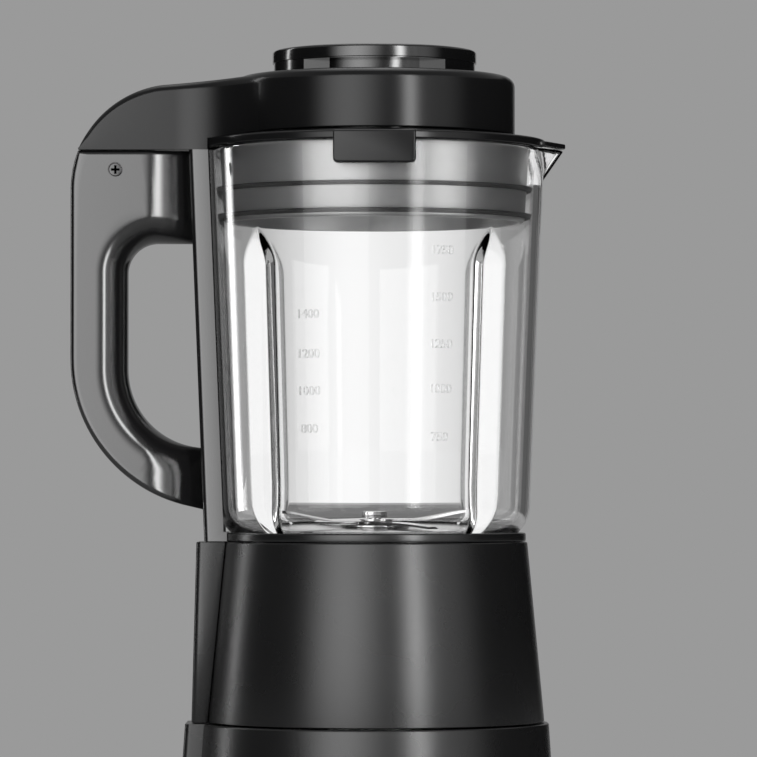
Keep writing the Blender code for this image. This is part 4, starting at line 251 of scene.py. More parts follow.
def turning_tree() -> bpy.types.NodeTree:
    """Build the tree that turns a profile about the Z axis.

    The input mesh holds the profile's points as (radius, 0, height). Each point of a grid reads
    its profile point by its row and its angle by its column.

    Returns:
        The geometry tree.
    """
    tree, wiring, given, output = tree_with("Turned form", {"Steps": "Int", "Weld": "Float"})
    profile, steps = given["Geometry"], given["Steps"]
    size = wiring.node("GeometryNodeAttributeDomainSize", {"Geometry": profile}, component="MESH")
    count = size.outputs["Point Count"]
    grid = wiring.node("GeometryNodeMeshGrid", {"Vertices X": wiring.sum("ADD", steps, 1.0), "Vertices Y": count})
    index = wiring.node("GeometryNodeInputIndex").outputs[0]
    column = wiring.sum("FLOOR", wiring.sum("DIVIDE", wiring.sum("ADD", index, 0.5), count))
    row = wiring.sum("SUBTRACT", index, wiring.sum("MULTIPLY", column, count))
    place = wiring.node("GeometryNodeInputPosition").outputs[0]
    sample = wiring.node("GeometryNodeSampleIndex", {"Geometry": profile, "Value": place, "Index": row},
                         data_type="FLOAT_VECTOR", domain="POINT")
    radius, _, height = wiring.parts(sample.outputs[0])
    angle = wiring.sum("MULTIPLY", wiring.sum("DIVIDE", column, steps), TURN)
    turned = wiring.vector(wiring.sum("MULTIPLY", radius, wiring.sum("COSINE", angle)),
                           wiring.sum("MULTIPLY", radius, wiring.sum("SINE", angle)), height)
    moved = wiring.node("GeometryNodeSetPosition", {"Geometry": grid.outputs["Mesh"], "Position": turned})
    merged = wiring.node(
        "GeometryNodeMergeByDistance", {"Geometry": moved.outputs["Geometry"], "Distance": given["Weld"]})
    close_tree(wiring, merged.outputs["Geometry"], given["Finish"], output)
    return tree


def ring_tree() -> bpy.types.NodeTree:
    """Build the tree that repeats a piece round the Z axis.

    Returns:
        The geometry tree.
    """
    tree, wiring, given, output = tree_with("Ring of copies", {"Count": "Int", "Start": "Float", "Sweep": "Float"})
    points = wiring.node("GeometryNodePoints", {"Count": given["Count"], "Position": (0.0, 0.0, 0.0)})
    share = wiring.sum("DIVIDE", wiring.node("GeometryNodeInputIndex").outputs[0], given["Count"])
    angle = wiring.sum("ADD", given["Start"], wiring.sum("MULTIPLY", share, given["Sweep"]))
    copies = wiring.node("GeometryNodeInstanceOnPoints", {
        "Points": points.outputs[0], "Instance": given["Geometry"], "Rotation": wiring.vector(0.0, 0.0, angle)})
    close_tree(wiring, copies.outputs[0], given["Finish"], output)
    return tree


# Finishes

class Groups:
    """Shader node groups that several finishes share."""

    def __init__(self) -> None:
        """Build each group once."""
        self.grain = self.start("Moulded grain", ("Size", "Depth", "Spread"), ("Height", "Tone"), self.wire_grain)
        self.brush = self.start("Brushed streaks", ("Length", "Width", "Spread"), ("Height", "Tone"), self.wire_brush)
        self.haze = self.start("Handling haze", ("Size", "Low", "High"), ("Roughness",), self.wire_haze)

    def start(self, name: str, inputs: Iterable[str], outputs: Iterable[str],
              wire: Callable[[Wiring, Any, Any], dict[str, Socket]]) -> bpy.types.NodeTree:
        """Make a group and wire it.

        Args:
            name: the group's name.
            inputs: names of its number inputs.
            outputs: names of its number outputs.
            wire: method that gives the source of each output.

        Returns:
            The node group.
        """
        tree = bpy.data.node_groups.new(name, "ShaderNodeTree")
        tree.interface.new_socket("Vector", in_out="INPUT", socket_type="NodeSocketVector")
        for way, labels in (("INPUT", inputs), ("OUTPUT", outputs)):
            for label in labels:
                tree.interface.new_socket(label, in_out=way, socket_type="NodeSocketFloat")
        wiring = Wiring(tree)
        given = wiring.node("NodeGroupInput").outputs
        wiring.feed(wiring.node("NodeGroupOutput"), wire(wiring, given, given["Vector"]))
        return tree

    def noise(self, wiring: Wiring, place: Socket, scale: Any, detail: float) -> Socket:
        """Noise at a place."""
        return wiring.node("ShaderNodeTexNoise", {"Vector": place, "Scale": scale, "Detail": detail},
                           noise_dimensions="3D").outputs[0]

    def tone(self, wiring: Wiring, noise: Socket, spread: Socket) -> Socket:
        """Factor round 1 that follows a noise."""
        return wiring.sum("ADD", 1.0, wiring.sum("MULTIPLY", wiring.sum("SUBTRACT", noise, 0.5), spread))

    def wire_grain(self, wiring: Wiring, given: Any, place: Socket) -> dict[str, Socket]:
        """Fine grain of moulded plastic: pits for the bump and a speckle for the tone.

        Args:
            wiring: the group's wiring.
            given: outputs of the group input.
            place: the coordinates.

        Returns:
            The source of each output.
        """
        scale = wiring.sum("DIVIDE", 1.0, given["Size"])
        noise = self.noise(wiring, place, scale, 2.0)
        cells = wiring.node("ShaderNodeTexVoronoi", {"Vector": place, "Scale": wiring.sum("MULTIPLY", scale, 0.7)},
                            feature="F1").outputs["Distance"]
        both = wiring.sum("ADD", noise, wiring.sum("MULTIPLY", cells, 0.5))
        return {"Height": wiring.sum("MULTIPLY", both, given["Depth"]),
                "Tone": self.tone(wiring, noise, given["Spread"])}

    def wire_brush(self, wiring: Wiring, given: Any, place: Socket) -> dict[str, Socket]:
        """Streaks that run round the piece, from noise squeezed along Z.

        Args:
            wiring: the group's wiring.
            given: outputs of the group input.
            place: the coordinates.

        Returns:
            The source of each output.
        """
        squeezed = [wiring.sum("DIVIDE", part, given[size])
                    for part, size in zip(wiring.parts(place), ("Length", "Length", "Width"))]
        noise = self.noise(wiring, wiring.vector(*squeezed), 1.0, 3.0)
        return {"Height": noise, "Tone": self.tone(wiring, noise, given["Spread"])}

    def wire_haze(self, wiring: Wiring, given: Any, place: Socket) -> dict[str, Socket]:
        """Cloudy change of roughness that wiping and handling leave.

        Args:
            wiring: the group's wiring.
            given: outputs of the group input.
            place: the coordinates.

        Returns:
            The source of each output.
        """
        noise = self.noise(wiring, place, wiring.sum("DIVIDE", 1.0, given["Size"]), 4.0)
        span = wiring.sum("SUBTRACT", given["High"], given["Low"])
        return {"Roughness": wiring.sum("ADD", given["Low"], wiring.sum("MULTIPLY", noise, span))}


@dataclass(frozen=True)
class Finish:
    """A surface finish: one Principled BSDF with grain, streaks and haze as it needs them."""

    name: str
    slot: Slot
    colour: Colour
    roughness: Point
    metallic: float = 0.0
    ior: float = 1.5
    grain_size: float = 0.0
    grain_depth: float = 0.0
    speckle: float = 0.0
    brush_length: float = 0.0
    brush_width: float = 0.0
    streak: float = 0.0
    coat: float = 0.0
    coat_roughness: float = 0.05
    haze_size: float = 0.03
    transmission: float = 0.0
    shine: float = 1.0

    def made(self, groups: Groups) -> bpy.types.Material:
        """Build the material.

        Args:
            groups: the shared node groups.

        Returns:
            The material.
        """
        material = bpy.data.materials.new(self.name)
        material.use_nodes = True
        wiring = Wiring(material.node_tree)
        shader = material.node_tree.nodes["Principled BSDF"]
        colour = (*self.colour, 1.0)
        low, high = self.roughness
        wiring.feed(shader, {"Base Color": colour, "Metallic": self.metallic, "IOR": self.ior, "Coat Weight": self.coat,
                             "Coat Roughness": self.coat_roughness, "Transmission Weight": self.transmission,
                             "Specular Tint": (self.shine, self.shine, self.shine, 1.0), "Roughness": low})
        place = wiring.node("ShaderNodeTexCoord").outputs["Object"]
        if high > low:
            haze = self.placed(wiring, groups.haze, place, Size=self.haze_size, Low=low, High=high)
            wiring.feed(shader, {"Roughness": haze["Roughness"]})
        pattern = None
        if self.grain_size > 0:
            pattern = self.placed(wiring, groups.grain, place, Size=self.grain_size, Depth=1.0, Spread=self.speckle)
        elif self.brush_length > 0:
            pattern = self.placed(wiring, groups.brush, place, Length=self.brush_length, Width=self.brush_width,
                                  Spread=self.streak)
        if pattern is not None:
            tint = wiring.node("ShaderNodeMix", {0: 1.0, 6: colour, 7: pattern["Tone"]}, data_type="RGBA",
                               blend_type="MULTIPLY")
            bump = wiring.node(
                "ShaderNodeBump", {"Strength": 1.0, "Distance": self.grain_depth, "Height": pattern["Height"]})
            wiring.feed(shader, {"Base Color": tint.outputs[2], "Normal": bump.outputs["Normal"]})
        return material

    def placed(self, wiring: Wiring, tree: bpy.types.NodeTree, place: Socket, **values: float) -> Any:
        """Outputs of a shared group, placed in the material with its own values."""
        return wiring.node("ShaderNodeGroup", {"Vector": place, **values}, node_tree=tree).outputs


class Look(Enum):
    """Every finish of the blender."""

    SATIN = Finish("Satin black plastic", Slot.SATIN, (0.006, 0.006, 0.0062), (0.25, 0.30), grain_size=0.0004,
                   grain_depth=0.00002, speckle=0.6)
    GLOSS = Finish("Polished black plastic", Slot.GLOSS, (0.006, 0.006, 0.0062), (0.22, 0.27), grain_size=0.0004,
                   grain_depth=0.00001, speckle=0.5)
    GRIP = Finish("Handle black plastic", Slot.GLOSS, (0.006, 0.006, 0.0062), (0.17, 0.20), ior=1.72, grain_size=0.0004,
                  grain_depth=0.000006, speckle=0.4)
    LID = Finish("Lid black plastic", Slot.GLOSS, (0.005, 0.005, 0.0052), (0.19, 0.23), ior=1.34, grain_size=0.0004,
                 grain_depth=0.000006, speckle=0.4)
    CAP = Finish("Glossy black cap", Slot.GLOSS, (0.004, 0.004, 0.0042), (0.13, 0.16), ior=1.55, coat=0.3)
    GLASS = Finish("Clear jug glass", Slot.GLASS, (1.0, 1.0, 1.0), (0.0, 0.0), ior=1.47, transmission=1.0, shine=0.5)
    FROST = Finish("Raised glass figures", Slot.GLASS, (0.86, 0.86, 0.86), (0.04, 0.04), ior=1.47, transmission=1.0)
    PLUG = Finish("Brushed plug skin", Slot.PLUG, (0.34, 0.34, 0.34), (0.36, 0.42), metallic=1.0, brush_length=0.03,
                  brush_width=0.0003, streak=0.12, grain_depth=0.000004)
    STEEL = Finish("Brushed stainless steel", Slot.STEEL, (0.62, 0.62, 0.62), (0.16, 0.24), metallic=1.0,
                   brush_length=0.02, brush_width=0.0004, streak=0.15, grain_depth=0.000008)
    DULL_STEEL = Finish("Heater sheath", Slot.ELEMENT, (0.38, 0.37, 0.36), (0.35, 0.5), metallic=1.0, grain_size=0.0006,
                        grain_depth=0.00002, speckle=0.4)
    RUBBER = Finish("Black rubber", Slot.RUBBER, (0.018, 0.018, 0.018), (0.6, 0.75), grain_size=0.0005,
                    grain_depth=0.00003, speckle=0.5)
    LENS = Finish("Smoked display lens", Slot.LENS, (0.004, 0.004, 0.005), (0.04, 0.06), ior=1.55, coat=0.5)
    NYLON = Finish("Moulded nylon", Slot.NYLON, (0.014, 0.014, 0.015), (0.42, 0.52), grain_size=0.0005,
                   grain_depth=0.00002, speckle=0.5)
    MOTOR = Finish("Zinc-plated steel", Slot.MOTOR, (0.48, 0.48, 0.47), (0.3, 0.42), metallic=1.0, brush_length=0.05,
                   brush_width=0.0005, streak=0.35, grain_depth=0.00003)
    COPPER = Finish("Enamelled copper", Slot.COPPER, (0.60, 0.24, 0.10), (0.22, 0.32), metallic=1.0, brush_length=0.03,
                    brush_width=0.0005, streak=0.5, grain_depth=0.00005)
    BOARD = Finish("Green circuit board", Slot.BOARD, (0.02, 0.11, 0.05), (0.35, 0.45), grain_size=0.001,
                   grain_depth=0.00002, speckle=0.5)
    INK = Finish("Pale grey print", Slot.GLOSS, (0.55, 0.55, 0.54), (0.45, 0.5), grain_size=0.0003, grain_depth=0.00001,
                 speckle=0.2)
    BLACK_STEEL = Finish("Blackened screw steel", Slot.STEEL, (0.06, 0.06, 0.06), (0.16, 0.2), metallic=1.0)


# Mesh making

def linked(name: str, data: bpy.types.ID) -> Piece:
    """Put a mesh, a curve, a light or a camera into the scene.

    Args:
        name: the object's name.
        data: what it shows.

    Returns:
        The new object.
    """
    piece = bpy.data.objects.new(name, data)
    bpy.context.scene.collection.objects.link(piece)
    return piece


def cleaned(shape: bmesh.types.BMesh, mesh: bpy.types.Mesh) -> bpy.types.Mesh:
    """Merge a bmesh's doubles, point its faces outwards and write it to a mesh.

    Args:
        shape: the bmesh, freed here.
        mesh: the mesh that it goes to.

    Returns:
        The mesh.
    """
    bmesh.ops.remove_doubles(shape, verts=shape.verts, dist=WELD)
    bmesh.ops.dissolve_degenerate(shape, edges=shape.edges, dist=WELD)
    bmesh.ops.recalc_face_normals(shape, faces=shape.faces)
    shape.to_mesh(mesh)
    shape.free()
    return mesh


class Workshop:
    """Makes meshes, fits pieces to the frame and keeps what they share."""

    def __init__(self, frame: dict[str, Any]) -> None:
        """Build the shared trees and finishes.
        """
        groups = Groups()
        self.frame = frame
        self.turning = turning_tree()
        self.ring = ring_tree()
        self.materials = {look: look.value.made(groups) for look in Look}

    def settle(self, name: str, shape: bmesh.types.BMesh) -> Piece:
        """Clean a bmesh and put it into the scene.

        Args:
            name: the object's name.
            shape: the bmesh.

        Returns:
            The new object.
        """
        return linked(name, cleaned(shape, bpy.data.meshes.new(name)))

    def evaluated(self, piece: Piece) -> Piece:
        """Turn a piece and its modifiers into a plain mesh.

        Args:
            piece: the object, kept with its new mesh.

        Returns:
            The same object.
        """
        bpy.context.view_layer.update()
        graph = bpy.context.evaluated_depsgraph_get()
        mesh = bpy.data.meshes.new_from_object(piece.evaluated_get(graph))
        piece.modifiers.clear()
        piece.data = mesh
        return piece

    def grown(self, piece: Piece, tree: bpy.types.NodeTree, **inputs: Any) -> Piece:
        """Run a geometry tree on a piece and keep its result.

        Args:
            piece: the object that the tree reads.
            tree: the geometry tree.
            inputs: value of each named input.

        Returns:
            The same object with the grown mesh.
        """
        modifier = piece.modifiers.new(tree.name, "NODES")
        modifier.node_group = tree
        for item in tree.interface.items_tree:
            if item.in_out == "INPUT" and item.name in inputs:
                modifier[item.identifier] = inputs[item.name]
        self.evaluated(piece)
        shape = bmesh.new()
        shape.from_mesh(piece.data)
        cleaned(shape, piece.data)
        return piece

    def turned(self, name: str, corners: Sequence[Sequence[float]], steps: int = 128, arc_steps: int = 4) -> Piece:
        """Turn a closed outline about the Z axis with the turning tree.

        Args:
            name: the object's name.
            corners: (radius, height) or (radius, height, rounding) of each corner, in order.
            steps: facets round the full turn.
            arc_steps: facets in each rounded corner.

        Returns:
            The new object.
        """
        outline = rounded(corners, arc_steps)
        mesh = bpy.data.meshes.new(name)
        mesh.from_pydata([(radius, 0.0, height) for radius, height in outline + outline[:1]], [], [])
        return self.grown(linked(name, mesh), self.turning, Steps=steps, Weld=WELD)

    def ringed(self, piece: Piece, count: int, start: float = 0.0, sweep: float = TURN) -> Piece:
        """Repeat a piece round the Z axis with the ring tree.

        Args:
            piece: one copy, in its first place.
            count: how many copies.
            start: angle of the first one.
            sweep: angle that the copies share.

        Returns:
            The same object with all copies.
        """
        return self.grown(piece, self.ring, Count=count, Start=start, Sweep=sweep)

    def lofted(self, name: str, rings: Sequence[Sequence[Sequence[float]]], closed: bool = False) -> Piece:
        """Skin through rings of as many points each.

        Args:
            name: the object's name.
            rings: the rings' points, in order.
            closed: join the last ring to the first, else cap both ends.

        Returns:
            The new object.
        """
        shape = bmesh.new()
        loops = [[shape.verts.new(point) for point in ring] for ring in rings]
        pairs = list(zip(loops, loops[1:])) + ([(loops[-1], loops[0])] if closed else [])
        count = len(loops[0])
        for near, far in pairs:
            for index in range(count):
                after = (index + 1) % count
                shape.faces.new((near[index], near[after], far[after], far[index]))
        if not closed:
            shape.faces.new(loops[0])
            shape.faces.new(loops[-1])
        return self.settle(name, shape)

    def slab(self, name: str, outline: Sequence[Point], low: float, high: float, plane: str = "XY") -> Piece:
        """Push a flat outline along the third axis of its plane.

        Args:
            name: the object's name.
            outline: its points in the plane.
            low: first level.
            high: second level.
            plane: XY, XZ or YZ.

        Returns:
            The new object.
        """
        picks = {"XY": (0, 1, 2), "XZ": (0, 2, 1), "YZ": (2, 0, 1)}[plane]
        return self.lofted(name, [[[(*point, level)[pick] for pick in picks] for point in outline]
                                  for level in (low, high)])

    def rod(self, name: str, radius: float, foot: Sequence[float], head: Sequence[float], facets: int = 32) -> Piece:
        """Make a round bar between two points.

        Args:
            name: the object's name.
            radius: its radius.
            foot: its first end.
            head: its other end.
            facets: facets round it.

        Returns:
            The new object.
        """
        shape = bmesh.new()
        run = Vector(head) - Vector(foot)
        bmesh.ops.create_cone(shape, cap_ends=True, segments=facets, radius1=radius, radius2=radius, depth=run.length)
        turn = Vector((0, 0, 1)).rotation_difference(run.normalized()).to_matrix().to_4x4()
        middle = Matrix.Translation((Vector(foot) + Vector(head)) / 2)
        bmesh.ops.transform(shape, matrix=middle @ turn, verts=shape.verts)
        return self.settle(name, shape)

    def combine(self, target: Piece, operation: str, tools: Iterable[Piece]) -> None:
        """Run a boolean of each tool on a piece and drop the tools.

        Args:
            target: the piece that stays.
            operation: DIFFERENCE or UNION.
            tools: the other pieces.
        """
        for tool in tools:
            modifier = target.modifiers.new("Combine", "BOOLEAN")
            modifier.operation, modifier.solver, modifier.object = operation, "EXACT", tool
            self.evaluated(target)
            bpy.data.objects.remove(tool)

    def cut(self, target: Piece, *tools: Piece) -> None:
        """Cut tools from a piece and drop them."""
        self.combine(target, "DIFFERENCE", tools)

    def join(self, target: Piece, *tools: Piece) -> None:
        """Join tools to a piece and drop them."""
        self.combine(target, "UNION", tools)

    def bevelled(self, piece: Piece, width: float, segments: int = 3, angle: float = SMOOTH_ANGLE) -> None:
        """Round a piece's sharp edges.

        Args:
            piece: the object.
            width: width of the rounding.
            segments: facets across it.
            angle: edges sharper than this are rounded.
        """
        modifier = piece.modifiers.new("Bevel", "BEVEL")
        modifier.width, modifier.segments = width, segments
        modifier.limit_method, modifier.angle_limit = "ANGLE", angle
        modifier.use_clamp_overlap = True
        self.evaluated(piece)

    def fit(self, piece: Piece, body: Body, look: Look, *nodes: str, angle: float = SMOOTH_ANGLE) -> None:
        """Dress a piece, let it ride on its body and stand for CAD nodes.

        Args:
            piece: the finished mesh.
            body: the body that it moves with.
            look: its finish, which knows the record's slot.
            nodes: CAD nodes that it replaces.
            angle: edges sharper than this stay sharp.
        """
        piece.data.materials.clear()
        piece.data.materials.append(self.materials[look])
        for face in piece.data.polygons:
            face.material_index = 0
        piece.data.shade_smooth()
        piece.data.set_sharp_from_angle(angle=angle)
        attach(piece, body.value)
        if nodes:
            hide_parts(*nodes)
        log.info("%s: %d faces on %s for %s", piece.name, len(piece.data.polygons), body.value,
                 ", ".join(nodes) or "trim")

    def repaint(self, look: Look, *nodes: str) -> None:
        """Give CAD nodes that stay their finish.

        Args:
            look: the finish, which knows the record's slot.
            nodes: the CAD nodes' names.
        """
        for name in nodes:
            node = self.frame["nodes"][name]
            node.data.materials.clear()
            node.data.materials.append(self.materials[look])
            log.info("%s keeps its solid in %s", name, look.value.name)


# Outlines

def rounded(corners: Sequence[Sequence[float]], steps: int = 4) -> list[Point]:
    """Round the corners of a closed outline.

    Args:
        corners: (x, y) of each sharp corner and (x, y, radius) of each round one.
        steps: facets in each rounded corner.

    Returns:
        The outline's points.
    """
    outline: list[Point] = []
    count = len(corners)
    for index, (x, y, *rounding) in enumerate(corners):
        here = Vector((x, y))
        before = Vector(corners[index - 1][:2]) - here
        after = Vector(corners[(index + 1) % count][:2]) - here
        half = before.angle(after, math.pi) / 2
        if not any(rounding) or min(before.length, after.length) <= WELD or half > QUARTER - STRAIGHT:
            outline.append((x, y))
            continue
        reach = min(rounding[0] / math.tan(half), before.length * 0.49, after.length * 0.49)
        radius = reach * math.tan(half)
        before.normalize()
        after.normalize()
        centre = here + (before + after).normalized() * (radius / math.sin(half))
        start, stop = here + before * reach - centre, here + after * reach - centre
        first = math.atan2(start.y, start.x)
        sweep = (math.atan2(stop.y, stop.x) - first + math.pi) % TURN - math.pi
        outline += arc((centre.x, centre.y), radius, first, first + sweep, steps)
    return outline


def arc(centre: Point, radius: float, start: float, stop: float, steps: int) -> list[Point]:
    """Points along an arc, both ends included.

    Args:
        centre: the arc's centre.
        radius: its radius.
        start: first angle in radians.
        stop: last angle.
        steps: facets along it.

    Returns:
        The points.
    """
    return [(centre[0] + radius * math.cos(start + (stop - start) * step / steps),
             centre[1] + radius * math.sin(start + (stop - start) * step / steps)) for step in range(steps + 1)]


def box_outline(low: Point, high: Point, radius: float, steps: int = 6) -> list[Point]:
    """Outline of a rectangle with round corners.

    Args:
        low: its lowest corner.
        high: its highest corner.
        radius: radius of the corners.
        steps: facets in each corner.

    Returns:
        The outline's points.
    """
    corners = ((low[0], low[1]), (high[0], low[1]), (high[0], high[1]), (low[0], high[1]))
    return rounded([(*corner, radius) for corner in corners], steps)


def lobed(radius: float, swell: float, count: int, points: int) -> list[Point]:
    """A round outline with soft lobes.

    Args:
        radius: mean radius.
        swell: half the lobes' height.
        count: number of lobes.
        points: points on each.

    Returns:
        The outline's points.
    """
    angles = [TURN * index / (count * points) for index in range(count * points)]
    reaches = [radius + swell * math.cos(count * TURN * index / (count * points)) for index in range(count * points)]
    return [(reach * math.cos(angle), reach * math.sin(angle)) for reach, angle in zip(reaches, angles)]


def spaced(first: Point, last: Point, steps: int) -> list[Point]:
    """Evenly spaced points from the first up to the last, which is left out."""
    return [(first[0] + (last[0] - first[0]) * step / steps, first[1] + (last[1] - first[1]) * step / steps)
            for step in range(steps)]


def at_front(radius: float, turn: float, height: float) -> Corner:
    """Point at a distance from the axis and an angle from the front towards the spout."""
    return (radius * math.sin(turn), -radius * math.cos(turn), height)


def aimed(holder: Piece, place: Corner, target: Corner) -> None:
    """Put an object at a place and let it face a target."""
    holder.location = place
    holder.rotation_euler = (Vector(target) - Vector(place)).to_track_quat("-Z", "Y").to_euler()


# Sub-assemblies

@dataclass
class GlassJug:
    """Clear jug with inward ribs, a pouring spout and a raised scale."""

    foot_radius: float = 0.0669
    rim_radius: float = 0.0730
    wall: float = 0.0038
    corner_radius: float = 0.0160
    port_radius: float = 0.0480
    lip: float = 0.0012
    spout_reach: float = 0.0085
    spout_drop: float = 0.0130
    spout_sweep: float = math.radians(17)
    rib_count: int = 4
    rib_half_width: float = 0.0082
    rib_crest: float = 0.0064
    rib_crest_rounding: float = 0.06
    rib_edge_rounding: float = 0.035
    rib_columns: int = 40
    clear_columns: int = 36
    rib_top_drop: float = 0.0355
    rib_point: float = 0.0160
    rib_foot: float = 0.0140
    figure_size: float = 0.0052
    figure_relief: float = 0.00035
    figure_bevel: float = 0.00004
    figure_gap: float = 0.0001
    figure_angle: float = math.radians(23.4)

    def radius(self, height: float) -> float:
        """Outer radius of the straight wall at a height."""
        share = (height - LEVELS.corner) / (LEVELS.rim - LEVELS.corner)
        return self.foot_radius + (self.rim_radius - self.foot_radius) * share

    def rib(self, across: float, height: float) -> float:
        """How far a rib stands in from the wall.

        Its flanks are straight, its crest and its edges are slightly round, and its head closes
        in a pointed arch.

        Args:
            across: distance from the rib's middle, along the wall.
            height: height of the point.

        Returns:
            The rib's height over the wall.
        """
        share = min(1.0, max(0.0, (LEVELS.rim - self.rib_top_drop - height) / self.rib_point))
        if share <= 0.0:
            return 0.0
        head = math.sin(share * QUARTER)
        rise = share ** 2 * (3 - 2 * share) / head
        floor = LEVELS.glass_floor + self.wall
        foot = min(1.0, max(0.0, (height - floor) / self.rib_foot))
        width = self.rib_half_width * (0.55 + 0.45 * foot)
        tip, edge = self.rib_crest_rounding, self.rib_edge_rounding
        level = head - (math.hypot(across / width, tip) - tip)
        return self.rib_crest * math.sqrt(foot) * rise * (level + math.hypot(level, edge)) / 2

    def stations(self) -> list[Point]:
        """Angles round the wall, closer together over each rib.

        Returns:
            (angle, distance from the rib's middle along the wall) of each point.
        """
        half = self.rib_half_width * 1.15 / self.foot_radius
        quarter = TURN / self.rib_count
        columns, clear_steps = self.rib_columns, self.clear_columns
        found = []
        for index in range(self.rib_count):
            middle = quarter * (index + 0.5)
            for step in range(columns + 1):
                place = 2 * step / columns - 1
                turn = half * math.copysign(abs(place) ** 1.25, place)
                found.append((middle + turn, turn * self.foot_radius))
            clear = quarter * (index + 1)
            spread = quarter / 2 - half - math.radians(1.0)
            found += [(clear - spread + 2 * spread * step / clear_steps, math.inf) for step in range(clear_steps + 1)]
        return found

    def spout(self, angle: float, height: float) -> float:
        """How far the pouring lip stands out at an angle and a height."""
        share = min(1.0, max(0.0, (height - LEVELS.rim + self.spout_drop) / self.spout_drop))
        away = abs((angle + math.pi) % TURN - math.pi)
        across = max(0.0, 1.0 - away / (self.spout_sweep * max(share, 0.08)))
        return self.spout_reach * share * across ** 1.15

    def build(self, shop: Workshop) -> None:
        """Make and fit the glass and its scale.

        Args:
            shop: the workshop.
        """
        centre = self.foot_radius - self.corner_radius
        spout_foot = LEVELS.rim - self.spout_drop
        shares = (0.0, 0.15, 0.3, 0.45, 0.6, 0.75, 0.88)
        upper = [(self.radius(z), z) for z in (spout_foot + self.spout_drop * share for share in shares)]
        outer = [(self.port_radius, LEVELS.glass_floor)]
        outer += arc((centre, LEVELS.corner), self.corner_radius, -QUARTER, 0.0, 16)
        outer += [(self.radius(z), z) for z in (0.225, 0.255, 0.285, 0.315)] + upper
        lip_centre = (self.rim_radius - self.lip, LEVELS.rim - self.lip)
        outer += arc(lip_centre, self.lip, 0.0, QUARTER, 4)
        inner_centre = (self.rim_radius - self.wall + self.lip, LEVELS.rim - self.lip)
        inner = arc(inner_centre, self.lip, QUARTER, 2 * QUARTER, 4)
        inner += [(r - self.wall, z) for r, z in reversed(upper)]
        rib_top = LEVELS.rim - self.rib_top_drop
        heads = [rib_top - self.rib_point * (step / 30) ** 1.2 for step in range(31)]
        inner += [(self.radius(z) - self.wall, z) for z in heads + [0.280, 0.260, 0.240, 0.220, 0.208]]
        inner += arc((centre, LEVELS.corner), self.corner_radius - self.wall, 0.0, -QUARTER, 12)
        inner.append((self.port_radius, LEVELS.glass_floor + self.wall))
        rings = []
        stations = self.stations()
        for index, (radius, height) in enumerate(outer + inner):
            inside = index >= len(outer)
            ring = []
            for angle, across in stations:
                rib = self.rib(across, height) if inside and math.isfinite(across) else 0.0
                reach = radius - rib + self.spout(angle, height)
                ring.append((reach * math.cos(angle), reach * math.sin(angle), height))
            rings.append(ring)
        jug = shop.lofted("jug_glass", rings, closed=True)
        shop.fit(jug, Body.JUG, Look.GLASS, "glass_jug", angle=STEEP_ANGLE)
        self.figures(shop)

    def figures(self, shop: Workshop) -> None:
        """Make the raised numbers of the scale on both sides of the front.

        Args:
            shop: the workshop.
        """
        right = {"1750": 0.3060, "1500": 0.2864, "1250": 0.2668, "1000": 0.2481, "750": 0.2280}
        left = {"1400": 0.2793, "1200": 0.2627, "1000": 0.2472, "800": 0.2314}
        shape = bmesh.new()
        for side, marks in ((1, right), (-1, left)):
            for text, height in marks.items():
                self.wrap_figure(shape, text, side * self.figure_angle, height)
        piece = shop.settle("jug_scale", shape)
        shop.fit(piece, Body.JUG, Look.FROST)

    def wrap_figure(self, shape: bmesh.types.BMesh, text: str, angle: float, height: float) -> None:
        """Bend one number round the glass and add it.

        Args:
            shape: the bmesh that collects the numbers.
            text: the number.
            angle: its middle, from the front towards the spout.
            height: its middle's height.
        """
        curve = bpy.data.curves.new("figure", "FONT")
        curve.body, curve.size = text, self.figure_size
        curve.align_x, curve.align_y = "CENTER", "CENTER"
        curve.extrude, curve.bevel_depth = self.figure_relief / 2, self.figure_bevel
        holder = linked("figure", curve)
        bpy.context.view_layer.update()
        mesh = bpy.data.meshes.new_from_object(holder.evaluated_get(bpy.context.evaluated_depsgraph_get()))
        for vertex in mesh.vertices:
            across, up, out = vertex.co
            z = height + up
            reach = self.radius(z) + out + self.figure_relief / 2 + self.figure_gap
            vertex.co = at_front(reach, angle + across / self.radius(z), z)
        shape.from_mesh(mesh)
        bpy.data.objects.remove(holder)


